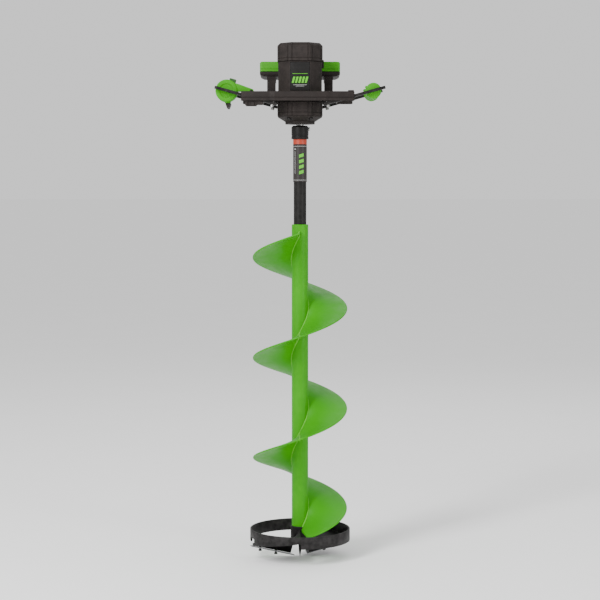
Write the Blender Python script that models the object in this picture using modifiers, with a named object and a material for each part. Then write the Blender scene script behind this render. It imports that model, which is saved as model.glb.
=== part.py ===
"""Battery ice fishing auger: powerhead, extension shaft, flighting and cutting head.

Metres, +Z up.  The origin is the tip of the centre point, on the drill axis, and the front faces -Y.
Angles round the drill axis are counted from the front, anticlockwise seen from above.
"""
import math

import bmesh
import bpy
from mathutils import Euler, Matrix, Vector

# ---------------------------------------------------------------- clearances
GAP = 0.0003            # between pieces that touch
RUNNING = 0.0004        # round pieces that turn or slide in each other
TINY = 0.00001          # merge distance
CUT = 0.002             # how far a cutter runs past the face it opens

# ---------------------------------------------------------------- cutting head
RING_RADIUS = 0.1015
RING_WALL = 0.0035
RING_TOP = 0.059
RING_BOTTOM = 0.0347
NOTCH_TOP = 0.043       # lower edge over each blade's outer end
BLADE_AZIMUTHS = (281.0, 101.0)
BLADE_INNER = 0.015
BLADE_OUTER = 0.103
BLADE_INNER_Z = 0.006
BLADE_OUTER_Z = 0.0275
BLADE_WIDTH = 0.020
BLADE_THICKNESS = 0.0022
BLADE_RISE = 0.13       # slope of a blade across its width
RAMP_SWEEP = 80.0
RAMP_THICKNESS = 0.004
RAMP_END_INNER_Z = 0.0545
RAMP_END_OUTER_Z = 0.0455
BLADE_SCREW_REACH = (0.052, 0.084)
BLADE_SCREW_INSET = 0.010
BLADE_SCREW_RADIUS = 0.0022
BLADE_SCREW_HEAD = 0.0042
HUB_BOTTOM = 0.035
HUB_TOP = 0.0625
HUB_SLOT_RISE = 0.0056
POINT_RADIUS = 0.0028
POINT_SHANK = 0.004
POINT_SHANK_TOP = 0.052

# ---------------------------------------------------------------- tube, flighting, shaft
SHAFT_RADIUS = 0.0127
SHAFT_WALL = 0.0032
SHAFT_CLEARANCE = 0.0006    # between the extension shaft and the tube it slides into
TUBE_WALL = 0.0034
TUBE_RADIUS = SHAFT_RADIUS + SHAFT_CLEARANCE + TUBE_WALL
HUB_LAND = 0.0023           # how far the hub stands out from the tube
HUB_RADIUS = TUBE_RADIUS + HUB_LAND
TUBE_TOP = 0.6755
FLIGHT_RADIUS = 0.0955
FLIGHT_THICKNESS = 0.003
PITCH = 0.203
FLIGHT_FRONT_Z = 0.050  # height of the helix where it crosses the front
FLIGHT_START = 10.0
FLIGHT_TURNS = 3
FLIGHT_STEPS = 40       # flats in each section
FLIGHT_JOINT = 0.6      # degrees left between two sections
SHAFT_BOTTOM = 0.600
SHAFT_BOLT_Z = 0.655
SHAFT_BOLT_RADIUS = 0.003
SLEEVE_BOTTOM = 0.7605
BAND_BOTTOM = 0.836
SLEEVE_WALL = 0.0009
COLLAR_BOTTOM = 0.8463
COLLAR_TOP = 0.8729
COLLAR_WALL = 0.00455
COLLAR_RADIUS = SHAFT_RADIUS + COLLAR_WALL
SHAFT_TOP = 0.860
OUTPUT_RADIUS = 0.0075
OUTPUT_BOTTOM = 0.850
COUPLER_PIN_Z = 0.8665
COUPLER_PIN_RADIUS = 0.0022
COUPLER_PIN_KNOB = 0.0036

# ---------------------------------------------------------------- planetary gear
MODULE = 0.00125
SUN_TEETH = 12
PLANET_TEETH = 18
RING_TEETH = 48
GEAR_BOTTOM = 0.8975
GEAR_TOP = 0.9075
BACKLASH = 0.16         # share of half a tooth pitch
PLANET_PIN_RADIUS = 0.003
CARRIER_RADIUS = 0.026
CARRIER_BOTTOM = 0.892
CARRIER_TOP = 0.8965
RING_GEAR_RADIUS = 0.0365

# ---------------------------------------------------------------- powerhead housings
FACET_SHARE = 21.0 / 45.0   # half a front facet over half the octagon
HOUSING_HALF = 0.045
CAP_OVERHANG = 0.0015       # how far the cap and the gear housing stand out from the motor housing
MOTOR_HALF = HOUSING_HALF - CAP_OVERHANG
HOUSING_WALL = 0.003
GEARCASE_FOOT_HALF = 0.0295
GEARCASE_FOOT_BOTTOM = 0.876
GEARCASE_FOOT_TOP = 0.8812
GEARCASE_TOP = 0.891
LOWER_HOUSING_TOP = 0.919
MOTOR_HOUSING_TOP = 0.999
CAP_SHOULDER = 0.0312       # cap height below its chamfer
CAP_CHAMFER = 0.0055
EDGE_ROUND = 0.0015
CASE_BOLT_X = 0.022
CASE_BOLT_INSET = 0.0105
CASE_BOLT_Y = HOUSING_HALF - CASE_BOLT_INSET
CASE_BOLT_HEAD = 0.004
CASE_BOLT_SHANK = 0.0022
LABEL_HALF = 0.0190
LABEL_BOTTOM = 0.941
LABEL_TOP = 0.9965
LABEL_THICKNESS = 0.001
LABEL_RECESS = 0.0016

# ---------------------------------------------------------------- motor
BEARING_RADIUS = 0.011
MOTOR_SHAFT_RADIUS = 0.004
STATOR_RADIUS = 0.038
ROTOR_RADIUS = 0.0215
STATOR_BOTTOM = 0.930
STATOR_TOP = 0.966
OUTPUT_BEARING_RADIUS = 0.014
CAP_BOSS_RADIUS = 0.0135
CAP_BOSS_BOTTOM = 0.990
MOTOR_SHAFT_TOP = 1.000
BOARD_HALF = 0.036
BOARD_BOTTOM = 0.976
BOARD_THICKNESS = 0.0016

# ---------------------------------------------------------------- handle
FRAME_BOTTOM = 0.9194
FRAME_TOP = 0.938
FRAME_WALL = 0.003
FRAME_BULGE_HALF = HOUSING_HALF + 0.005
FRAME_BULGE_RUN = 0.006     # width of the bulge's slanted sides
ARM_INNER_Y = HOUSING_HALF + 0.001
ARM_OUTER_Y = ARM_INNER_Y + 0.022
FRAME_FRONT = ARM_OUTER_Y + 0.002
FRAME_CORNER = 0.003
ARM_END_RIGHT = 0.107
ARM_END_LEFT = 0.116
BLOCK_HALF = 0.075
HANDLE_TILT = math.radians(15.5)
GRIP_X = 0.145
GRIP_Z = 0.940
PLATE_THICKNESS = 0.0055
PLATE_ARM_Y = (ARM_INNER_Y + 0.005, ARM_OUTER_Y - 0.005)
PLATE_ARM_MIDDLE = sum(PLATE_ARM_Y) / 2
PLATE_INNER = 0.103
PLATE_OUTER = 0.024
PLATE_BAR_HALF = 0.009
PLATE_CORNER = 0.004
GRIP_RADIUS = 0.0155
BOLT_REACH = 0.0944
BOLT_HEAD = 0.0035
BOLT_HEAD_HEIGHT = 0.0045
BOLT_SHANK = 0.002
BOSS_RADIUS = 0.006
BOSS_HEIGHT = 0.021
POD_RADIUS = 0.022
POD_BACK = -0.0203
NECK_BACK = -0.034
NECK_FOOT_X = -0.092

# ---------------------------------------------------------------- throttle
TRIGGER_X = -0.1430
TRIGGER_WIDTH = 0.0095
TRIGGER_TOP_Z = 0.9165
TRIGGER_KEEL_Z = 0.9064
TRIGGER_BACK = 0.024
TRIGGER_PIVOT_Y = -0.038
TRIGGER_PIVOT_Z = 0.922
TRIGGER_PIN_RADIUS = 0.0015
BUTTON_WIDTH = 0.013
BUTTON_LENGTH = 0.014
BUTTON_U = 0.006
BUTTON_Y = -0.036
BUTTON_BOTTOM = 0.0165
BUTTON_TOP = 0.0262
BUTTON_POCKET = 0.0127
SWITCH_Y = (-PLATE_ARM_Y[1] - 0.001, -PLATE_ARM_Y[0] + 0.001)
ROCKER_X = -0.096
ROCKER_Y = SWITCH_Y[0] + 0.0028
ROCKER_PLAY = 0.0006
ROCKER_Z = (0.9105, 0.9165)
ROCKER_HALF = 0.0058

# ---------------------------------------------------------------- battery
BATTERY_HALF = 0.0815
BATTERY_FRONT = HOUSING_HALF + 0.005
BATTERY_BACK = BATTERY_FRONT + 0.110
BATTERY_BOTTOM = 0.975
BATTERY_SPLIT = 0.985
BATTERY_TOP = 1.005
BATTERY_WALL = 0.0025
BATTERY_FLOOR = 0.005
BATTERY_FOOT_CHAMFER = (0.006, 0.003)
CELL_RADIUS = 0.0104
CELL_COUNT = 7
CELL_SPACING = 0.97         # pitch of the cells over their diameter
CELL_FRONT = BATTERY_FRONT + 0.018
CELL_BACK = BATTERY_BACK - 0.022
POST_X = (0.0494, 0.0667)
POST_Y = (HOUSING_HALF + 0.0025, HOUSING_HALF + 0.0205)
DOCK_BASE_TOP = 0.942
RAIL_BOTTOM = 0.967
RAIL_BACK = BATTERY_BACK - 0.020
BRACE = 0.012               # the slope where a post meets its rail
RIB_X = (0.056, 0.060)
RIB_HEIGHT = 0.003
LATCH_X = (0.0400, 0.0485)
LATCH_PIVOT_Y = BATTERY_FRONT + 0.001
LATCH_POCKET = 0.0095
LATCH_PIVOT_Z = 0.9945
LATCH_TOP = 1.0075


# ================================================================ scene and materials
def clear_scene():
    for thing in list(bpy.data.objects):
        bpy.data.objects.remove(thing, do_unlink=True)


def new_collection(name):
    collection = bpy.data.collections.new(name)
    bpy.context.scene.collection.children.link(collection)
    return collection


clear_scene()
PARTS = new_collection("ice_fishing_auger")
CUTTERS = new_collection("cutters")


def material(name, colour, roughness, metallic=0.0):
    finish = bpy.data.materials.new(name)
    finish.use_nodes = True
    shader = finish.node_tree.nodes["Principled BSDF"]
    shader.inputs["Base Color"].default_value = (*colour, 1.0)
    shader.inputs["Roughness"].default_value = roughness
    shader.inputs["Metallic"].default_value = metallic
    finish.diffuse_color = (*colour, 1.0)
    return finish


GREEN_PAINT = material("green_paint", (0.13, 0.51, 0.03), 0.35)
GREEN_PLASTIC = material("green_plastic", (0.12, 0.48, 0.04), 0.45)
BLACK_PLASTIC = material("black_plastic", (0.045, 0.038, 0.034), 0.55)
BLACK_STEEL = material("black_steel", (0.045, 0.042, 0.044), 0.50, 0.4)
BARE_STEEL = material("bare_steel", (0.55, 0.55, 0.54), 0.30, 1.0)
BLADE_STEEL = material("blade_steel", (0.45, 0.45, 0.46), 0.25, 1.0)
ORANGE_BAND = material("orange_band", (0.75, 0.10, 0.03), 0.50)
LABEL = material("label", (0.030, 0.030, 0.028), 0.35)
COPPER = material("copper_winding", (0.60, 0.26, 0.12), 0.40, 1.0)
BOARD_GREEN = material("board_green", (0.02, 0.12, 0.05), 0.50)
CELL_WRAP = material("cell_wrap", (0.05, 0.15, 0.40), 0.45)


# ================================================================ shape helpers
def add_object(name, mesh, finish=None, location=(0, 0, 0), rotation=(0, 0, 0)):
    """Put a mesh in the scene; without a finish it is a cutter, kept out of the parts."""
    piece = bpy.data.objects.new(name, mesh)
    piece.location = location
    piece.rotation_euler = rotation
    if finish is None:
        CUTTERS.objects.link(piece)
        piece.hide_render = True
        piece.display_type = "WIRE"
    else:
        PARTS.objects.link(piece)
        mesh.materials.clear()
        mesh.materials.append(finish)
    return piece


def finish_mesh(bm, name):
    bmesh.ops.recalc_face_normals(bm, faces=bm.faces)
    mesh = bpy.data.meshes.new(name)
    bm.to_mesh(mesh)
    bm.free()
    return mesh


def smooth(piece, angle=35.0):
    piece.data.shade_smooth()
    piece.data.set_sharp_from_angle(angle=math.radians(angle))
    return piece


def box(name, low, high, finish=None, **place):
    """Axis-aligned box between two corners."""
    low, high = Vector(low), Vector(high)
    bm = bmesh.new()
    bmesh.ops.create_cube(bm, size=1.0)
    bmesh.ops.scale(bm, vec=high - low, verts=bm.verts)
    bmesh.ops.translate(bm, vec=(low + high) / 2, verts=bm.verts)
    return add_object(name, finish_mesh(bm, name), finish, **place)


def rod(name, radius, low, high, finish=None, sides=20, tip=None, **place):
    """Cylinder along local Z between two heights, or a cone when a tip radius is given."""
    bm = bmesh.new()
    bmesh.ops.create_cone(bm, cap_ends=True, segments=sides, radius1=radius,
                          radius2=radius if tip is None else tip, depth=high - low)
    bmesh.ops.translate(bm, vec=(0, 0, (low + high) / 2), verts=bm.verts)
    return smooth(add_object(name, finish_mesh(bm, name), finish, **place))


def turned(name, profile, finish=None, steps=32, closed=False, **place):
    """Solid of revolution about Z; the profile runs down the outer side, top to bottom."""
    bm = bmesh.new()
    corners = [bm.verts.new((radius, 0.0, height)) for radius, height in profile]
    for upper, lower in zip(corners, corners[1:]):
        bm.edges.new((upper, lower))
    if closed:
        bm.edges.new((corners[-1], corners[0]))
    mesh = bpy.data.meshes.new(name)
    bm.to_mesh(mesh)
    bm.free()
    piece = add_object(name, mesh, finish, **place)
    screw = piece.modifiers.new("turn", "SCREW")
    screw.axis = "Z"
    screw.angle = math.tau
    screw.steps = screw.render_steps = steps
    screw.use_merge_vertices = True
    screw.merge_threshold = TINY
    screw.use_smooth_shade = True
    return piece


def tube(name, outer, inner, low, high, finish=None, steps=32, **place):
    profile = ((outer, high), (outer, low), (inner, low), (inner, high))
    return turned(name, profile, finish, steps, closed=True, **place)


def extruded(name, outline, low, high, finish=None, holes=(), **place):
    """Flat outline in local XY, with holes, as thick as from low to high along local Z."""
    curve = bpy.data.curves.new(name, "CURVE")
    curve.dimensions = "2D"
    curve.fill_mode = "BOTH"
    curve.extrude = (high - low) / 2
    for loop in (outline, *holes):
        spline = curve.splines.new("POLY")
        spline.points.add(len(loop) - 1)
        for point, (x, y) in zip(spline.points, loop):
            point.co = (x, y, 0.0, 1.0)
        spline.use_cyclic_u = True
    guide = bpy.data.objects.new(name + "_outline", curve)
    CUTTERS.objects.link(guide)
    bpy.context.view_layer.update()
    solid = bpy.data.meshes.new_from_object(guide.evaluated_get(bpy.context.evaluated_depsgraph_get()))
    bpy.data.objects.remove(guide, do_unlink=True)
    bm = bmesh.new()
    bm.from_mesh(solid)
    bmesh.ops.remove_doubles(bm, verts=bm.verts, dist=TINY)
    if not holes:
        for height in (low - high, high - low):
            cap = [face for face in bm.faces if all(abs(v.co.z - height / 2) < TINY for v in face.verts)]
            bmesh.ops.dissolve_faces(bm, faces=cap)
    bmesh.ops.translate(bm, vec=(0, 0, (low + high) / 2), verts=bm.verts)
    return add_object(name, finish_mesh(bm, name), finish, **place)


def boolean(piece, tool, operation):
    change = piece.modifiers.new(operation.lower() + "_" + tool.name, "BOOLEAN")
    change.operation = operation
    change.solver = "EXACT"
    change.object = tool
    return piece


def cut(piece, *tools):
    for tool in tools:
        boolean(piece, tool, "DIFFERENCE")
    return piece


def join(piece, *tools):
    for tool in tools:
        boolean(piece, tool, "UNION")
    return piece


def round_edges(piece, width, segments=2, angle=30.0):
    bevel = piece.modifiers.new("round", "BEVEL")
    bevel.width = width
    bevel.segments = segments
    bevel.limit_method = "ANGLE"
    bevel.angle_limit = math.radians(angle)
    return piece


def circle(radius, centre=(0.0, 0.0), points=24):
    angles = [math.tau * step / points for step in range(points)]
    return [(centre[0] + radius * math.cos(a), centre[1] + radius * math.sin(a)) for a in angles]


def turn_side(before, corner, after):
    """Positive where the outline turns left at a corner."""
    return (corner - before).cross(after - corner)


def filleted(corners, radius, steps=3, hollows=True):
    """A polygon with its corners rounded by arcs; hollow corners stay sharp when hollows is False."""
    rounded = []
    count = len(corners)
    points = [Vector(corner) for corner in corners]
    area = sum(here.cross(there) for here, there in zip(points, points[1:] + points[:1]))
    for index in range(count):
        before, corner, after = (points[(index + step) % count] for step in (-1, 0, 1))
        if not hollows and turn_side(before, corner, after) * area < 0:
            rounded.append(tuple(corner))
            continue
        towards_before = (before - corner).normalized()
        towards_after = (after - corner).normalized()
        half = towards_before.angle(towards_after) / 2
        reach = min(radius / math.tan(half), (before - corner).length / 2, (after - corner).length / 2)
        centre = corner + (towards_before + towards_after).normalized() * (reach / math.cos(half))
        first = corner + towards_before * reach - centre
        last = corner + towards_after * reach - centre
        for step in range(steps + 1):
            spoke = first.lerp(last, step / steps).normalized() * first.length
            rounded.append(tuple(centre + spoke))
    return rounded


def front_angle(degrees):
    """Angle from +X, in radians, of a direction counted from the front."""
    return math.radians(degrees - 90.0)


def octagon(half, facet_share=FACET_SHARE):
    facet = half * facet_share
    quarter = ((half, facet), (facet, half))
    return [*quarter, *[(-x, y) for x, y in reversed(quarter)],
            *[(-x, -y) for x, y in quarter], *[(x, -y) for x, y in reversed(quarter)]]


def octagon_stack(name, levels, finish=None, **place):
    """Octagonal solid through levels of (height, half width), lowest first."""
    bm = bmesh.new()
    rings = [[bm.verts.new((x, y, height)) for x, y in octagon(half)] for height, half in levels]
    for lower, upper in zip(rings, rings[1:]):
        for side in range(8):
            after = (side + 1) % 8
            bm.faces.new((lower[side], lower[after], upper[after], upper[side]))
    bm.faces.new(list(reversed(rings[0])))
    bm.faces.new(rings[-1])
    return add_object(name, finish_mesh(bm, name), finish, **place)


# ================================================================ cutting head
def ring_lower_edge(angle):
    """Height of the cutter ring's lower edge at an angle from the front."""
    behind = (angle - BLADE_AZIMUTHS[0]) % 180.0
    if behind <= 13.0:
        return NOTCH_TOP
    if behind <= RAMP_SWEEP - 4.0:
        share = behind / RAMP_SWEEP
        return BLADE_OUTER_Z + (RAMP_END_OUTER_Z - BLADE_OUTER_Z) * share
    if behind <= RAMP_SWEEP:
        return RAMP_END_OUTER_Z
    return RING_BOTTOM


def cutter_ring():
    breaks = (0.0, 13.0, 13.5, RAMP_SWEEP - 4.0, RAMP_SWEEP, RAMP_SWEEP + 3.0, 179.5)
    angles = {float(step) for step in range(0, 360, 6)}
    for azimuth in BLADE_AZIMUTHS:
        angles.update((azimuth + extra) % 360.0 for extra in breaks)
    angles = sorted(angles)
    bm = bmesh.new()
    columns = []
    for angle in angles:
        turn = front_angle(angle)
        x, y = RING_RADIUS * math.cos(turn), RING_RADIUS * math.sin(turn)
        columns.append((bm.verts.new((x, y, ring_lower_edge(angle))), bm.verts.new((x, y, RING_TOP))))
    for here, there in zip(columns, columns[1:] + columns[:1]):
        bm.faces.new((here[0], there[0], there[1], here[1]))
    ring = add_object("cutter_ring", finish_mesh(bm, "cutter_ring"), BLACK_STEEL)
    wall = ring.modifiers.new("wall", "SOLIDIFY")
    wall.thickness = RING_WALL
    wall.offset = -1.0
    return smooth(ring)


def blade_line_z(radius):
    share = (radius - BLADE_INNER) / (BLADE_OUTER - BLADE_INNER)
    return BLADE_INNER_Z + (BLADE_OUTER_Z - BLADE_INNER_Z) * share


def ramp_z(radius, share):
    """Height of a ramp's lower face, from the blade line (0) to the ramp's end (1)."""
    inner, outer = HUB_RADIUS, RING_RADIUS
    end = RAMP_END_INNER_Z + (RAMP_END_OUTER_Z - RAMP_END_INNER_Z) * (radius - inner) / (outer - inner)
    start = blade_line_z(radius)
    return start + (end - start) * share


def blade_screw_cutter(name, reach):
    hole = BLADE_SCREW_RADIUS + RUNNING
    return rod(name, hole, 0.0, RING_TOP, sides=12, location=(reach, BLADE_SCREW_INSET, 0.0))


def blade_holder(number, azimuth):
    """Twisted ramp from the blade line up to the start of the flighting."""
    name = f"blade_holder_{number}"
    inner, outer = HUB_RADIUS + GAP, RING_RADIUS - RING_WALL - GAP
    radial_steps, sweep_steps = 4, 12
    bm = bmesh.new()
    grid = []
    for step in range(sweep_steps + 1):
        share = step / sweep_steps
        turn = math.radians(RAMP_SWEEP) * share
        radii = [inner + (outer - inner) * across / radial_steps for across in range(radial_steps + 1)]
        grid.append([bm.verts.new((r * math.cos(turn), r * math.sin(turn), ramp_z(r, share)))
                     for r in radii])
    for row, after in zip(grid, grid[1:]):
        for across in range(radial_steps):
            bm.faces.new((row[across], row[across + 1], after[across + 1], after[across]))
    lower = list(bm.faces)
    raised = bmesh.ops.extrude_face_region(bm, geom=lower)
    top = [part for part in raised["geom"] if isinstance(part, bmesh.types.BMVert)]
    bmesh.ops.translate(bm, vec=(0, 0, RAMP_THICKNESS), verts=top)
    turn = (0, 0, front_angle(azimuth))
    holder = add_object(name, finish_mesh(bm, name), BLACK_STEEL, rotation=turn)
    for index, reach in enumerate(BLADE_SCREW_REACH):
        hole = blade_screw_cutter(f"{name}_hole_{index}", reach)
        hole.matrix_world = Matrix.Rotation(turn[2], 4, "Z") @ Matrix.Translation(hole.location)
        cut(holder, hole)
    return smooth(holder, 25.0)


def blade(number, azimuth):
    """Flat blade under the leading edge of its holder."""
    name = f"blade_{number}"
    lead = -0.0012
    bm = bmesh.new()
    bmesh.ops.create_cube(bm, size=1.0)
    for vert in bm.verts:
        along = BLADE_OUTER if vert.co.x > 0 else BLADE_INNER
        across = lead + BLADE_WIDTH if vert.co.y > 0 else lead
        height = blade_line_z(along) - GAP + BLADE_RISE * (across - lead)
        thickness = BLADE_THICKNESS if vert.co.y > 0 else BLADE_THICKNESS * 0.35
        if vert.co.z < 0:
            height -= thickness
        vert.co = (along, across, height)
    turn = (0, 0, front_angle(azimuth))
    plate = add_object(name, finish_mesh(bm, name), BLADE_STEEL, rotation=turn)
    for index, reach in enumerate(BLADE_SCREW_REACH):
        hole = blade_screw_cutter(f"{name}_hole_{index}", reach)
        hole.matrix_world = Matrix.Rotation(turn[2], 4, "Z") @ Matrix.Translation(hole.location)
        cut(plate, hole)
    return plate


def blade_screws(number, azimuth):
    for index, reach in enumerate(BLADE_SCREW_REACH):
        head_top = blade_line_z(reach - BLADE_SCREW_HEAD) - BLADE_THICKNESS - 2 * GAP
        radius = math.hypot(reach, BLADE_SCREW_INSET)
        share = math.degrees(math.atan2(BLADE_SCREW_INSET, reach)) / RAMP_SWEEP
        shank_top = ramp_z(radius, share) + RAMP_THICKNESS + 0.0015
        profile = ((0.0, shank_top), (BLADE_SCREW_RADIUS, shank_top), (BLADE_SCREW_RADIUS, head_top),
                   (BLADE_SCREW_HEAD, head_top), (BLADE_SCREW_HEAD * 0.7, head_top - 0.0022),
                   (0.0, head_top - 0.0022))
        turn = Matrix.Rotation(front_angle(azimuth), 4, "Z")
        spot = turn @ Vector((reach, BLADE_SCREW_INSET, 0.0))
        turned(f"blade_screw_{number}_{index + 1}", profile, BLACK_STEEL, 14, location=spot)


def cutter_hub():
    socket = POINT_SHANK + GAP
    profile = ((0.0, HUB_TOP), (HUB_RADIUS, HUB_TOP), (HUB_RADIUS, HUB_BOTTOM), (socket, HUB_BOTTOM),
               (socket, POINT_SHANK_TOP + GAP), (0.0, POINT_SHANK_TOP + GAP))
    hub = turned("cutter_hub", profile, BLACK_STEEL, 36)
    step = (360.0 - FLIGHT_START - FLIGHT_JOINT) / FLIGHT_STEPS
    slot = helix_strip("hub_flight_slot", TUBE_RADIUS, FLIGHT_RADIUS, FLIGHT_START - 3 * step, 9 * step, 9,
                       FLIGHT_THICKNESS + 2 * (2 * GAP + HUB_SLOT_RISE), raise_by=HUB_SLOT_RISE)
    return cut(hub, slot)


def centre_point():
    profile = ((0.0, POINT_SHANK_TOP), (POINT_SHANK, POINT_SHANK_TOP), (POINT_SHANK, HUB_BOTTOM - 0.003),
               (POINT_RADIUS, 0.016), (POINT_RADIUS * 0.85, 0.011), (0.0, 0.0))
    return turned("centre_point", profile, BLACK_STEEL, 16)


# ================================================================ tube, flighting, shaft
def helix_strip(name, inner, outer, start, sweep, steps, thickness, finish=None, raise_by=0.0):
    """Radial line swept up the auger's right-hand helix from one angle through a sweep."""
    bm = bmesh.new()
    ends = [bm.verts.new((radius, 0.0, 0.0)) for radius in (inner, outer)]
    bm.edges.new(ends)
    mesh = bpy.data.meshes.new(name)
    bm.to_mesh(mesh)
    bm.free()
    height = FLIGHT_FRONT_Z + PITCH * start / 360.0 + raise_by
    strip = add_object(name, mesh, finish, location=(0, 0, height), rotation=(0, 0, front_angle(start)))
    screw = strip.modifiers.new("helix", "SCREW")
    screw.axis = "Z"
    screw.angle = math.radians(sweep)
    screw.screw_offset = PITCH * sweep / 360.0
    screw.steps = screw.render_steps = steps
    screw.use_smooth_shade = True
    sheet = strip.modifiers.new("sheet", "SOLIDIFY")
    sheet.thickness = thickness
    sheet.offset = 0.0
    return strip


def flight_sections():
    edges = [FLIGHT_START] + [360.0 * turn for turn in range(1, FLIGHT_TURNS + 1)]
    for number, (low, high) in enumerate(zip(edges, edges[1:]), start=1):
        sweep = high - low - FLIGHT_JOINT
        helix_strip(f"flight_section_{number}", TUBE_RADIUS + GAP, FLIGHT_RADIUS, low, sweep, FLIGHT_STEPS,
                    FLIGHT_THICKNESS, GREEN_PAINT)


def shaft_bolt_hole(name, radius):
    return rod(name, radius, 0.0, TUBE_RADIUS + CUT, sides=14, location=(0, 0, SHAFT_BOLT_Z),
               rotation=(-math.pi / 2, 0, 0))


def auger_tube():
    pipe = tube("auger_tube", TUBE_RADIUS, TUBE_RADIUS - TUBE_WALL, HUB_TOP + GAP, TUBE_TOP, GREEN_PAINT)
    return cut(pipe, shaft_bolt_hole("tube_bolt_hole", SHAFT_BOLT_RADIUS + RUNNING))


def extension_shaft():
    pipe = tube("extension_shaft", SHAFT_RADIUS, SHAFT_RADIUS - SHAFT_WALL, SHAFT_BOTTOM, SHAFT_TOP,
                BLACK_STEEL)
    return cut(pipe, shaft_bolt_hole("shaft_bolt_hole", SHAFT_BOLT_RADIUS + RUNNING))


def shaft_bolt():
    head = TUBE_RADIUS + GAP
    tip = SHAFT_RADIUS - SHAFT_WALL - CUT
    profile = ((0.0, head + 0.003), (0.0048, head + 0.003), (0.0055, head), (SHAFT_BOLT_RADIUS, head),
               (SHAFT_BOLT_RADIUS, tip), (0.0, tip))
    return turned("shaft_bolt", profile, BARE_STEEL, 14, location=(0, 0, SHAFT_BOLT_Z),
                  rotation=(-math.pi / 2, 0, 0))


def label_sleeve():
    inner = SHAFT_RADIUS + GAP
    outer = inner + SLEEVE_WALL
    tube("label_sleeve", outer, inner, SLEEVE_BOTTOM, BAND_BOTTOM - GAP, LABEL)
    tube("orange_band", outer, inner, BAND_BOTTOM, COLLAR_BOTTOM - GAP, ORANGE_BAND)


def coupler_pin_hole(name, reach):
    return rod(name, COUPLER_PIN_RADIUS + RUNNING, -reach, reach, sides=14,
               location=(0, 0, COUPLER_PIN_Z), rotation=(0, math.pi / 2, 0))


def coupler_collar():
    shaft_bore = SHAFT_RADIUS + GAP
    output_bore = OUTPUT_RADIUS + GAP
    seat = SHAFT_TOP + GAP
    profile = ((COLLAR_RADIUS - 0.003, COLLAR_TOP), (COLLAR_RADIUS - 0.0008, COLLAR_TOP - 0.0008),
               (COLLAR_RADIUS, COLLAR_TOP - 0.003), (COLLAR_RADIUS, COLLAR_BOTTOM),
               (shaft_bore, COLLAR_BOTTOM), (shaft_bore, seat), (output_bore, seat),
               (output_bore, COLLAR_TOP))
    collar = turned("coupler_collar", profile, BLACK_STEEL, closed=True)
    return cut(collar, coupler_pin_hole("collar_pin_hole", COLLAR_RADIUS + CUT))


def coupler_pin():
    """Pin along X; its knob stands proud on the right."""
    knob = COLLAR_RADIUS + GAP
    profile = ((0.0, knob + 0.0024), (COUPLER_PIN_KNOB * 0.8, knob + 0.0024), (COUPLER_PIN_KNOB, knob + 0.001),
               (COUPLER_PIN_KNOB, knob), (COUPLER_PIN_RADIUS, knob),
               (COUPLER_PIN_RADIUS, -COLLAR_RADIUS), (0.0, -COLLAR_RADIUS))
    return turned("coupler_pin", profile, BARE_STEEL, 14, location=(0, 0, COUPLER_PIN_Z),
                  rotation=(0, math.pi / 2, 0))


# ================================================================ planetary gear and motor
def involute(angle):
    return math.tan(angle) - angle


def gear_outline(teeth, tip, root, backlash, shift=0.0):
    """Involute teeth as six points each; tip and root are distances off the pitch circle."""
    pitch_radius = MODULE * teeth / 2
    pressure = math.radians(20.0)
    base = pitch_radius * math.cos(pressure)
    outline = []
    for tooth in range(teeth):
        centre = math.tau * (tooth + shift) / teeth
        flank = []
        for radius in (pitch_radius - root, pitch_radius, pitch_radius + tip):
            roll = math.acos(min(1.0, base / radius))
            half = math.pi / (2 * teeth) * (1 - backlash) + involute(pressure) - involute(roll)
            flank.append((radius, half))
        for radius, half in flank:
            outline.append((radius * math.cos(centre - half), radius * math.sin(centre - half)))
        for radius, half in reversed(flank):
            outline.append((radius * math.cos(centre + half), radius * math.sin(centre + half)))
    return outline


PLANET_ORBIT = MODULE * (SUN_TEETH + PLANET_TEETH) / 2
PLANET_ANGLES = (90.0, 210.0, 330.0)
TOOTH_TIP = 0.8 * MODULE
TOOTH_ROOT = 1.05 * MODULE


def planet_spot(angle):
    turn = math.radians(angle)
    return (PLANET_ORBIT * math.cos(turn), PLANET_ORBIT * math.sin(turn), 0.0)


def gears():
    for number, angle in enumerate(PLANET_ANGLES, start=1):
        extruded(f"planet_gear_{number}", gear_outline(PLANET_TEETH, TOOTH_TIP, TOOTH_ROOT, BACKLASH),
                 GEAR_BOTTOM, GEAR_TOP, BARE_STEEL, holes=[circle(PLANET_PIN_RADIUS + RUNNING, points=12)],
                 location=planet_spot(angle))
    spaces = gear_outline(RING_TEETH, TOOTH_ROOT, TOOTH_TIP, -BACKLASH, shift=0.5)
    extruded("ring_gear", circle(RING_GEAR_RADIUS, points=48), GEAR_BOTTOM, GEAR_TOP, BARE_STEEL,
             holes=[spaces])


def rotor():
    """Motor shaft with the sun pinion cut on its lower end and the rotor's core pressed on it."""
    pinion = extruded("rotor", gear_outline(SUN_TEETH, TOOTH_TIP, TOOTH_ROOT, BACKLASH),
                      GEAR_BOTTOM, GEAR_TOP + 0.003, BARE_STEEL)
    shaft = rod("rotor_shaft", MOTOR_SHAFT_RADIUS, GEAR_TOP, MOTOR_SHAFT_TOP, sides=20)
    core = rod("rotor_core", ROTOR_RADIUS, STATOR_BOTTOM + 0.002, STATOR_TOP - 0.002, sides=24)
    return join(pinion, shaft, core)


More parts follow.
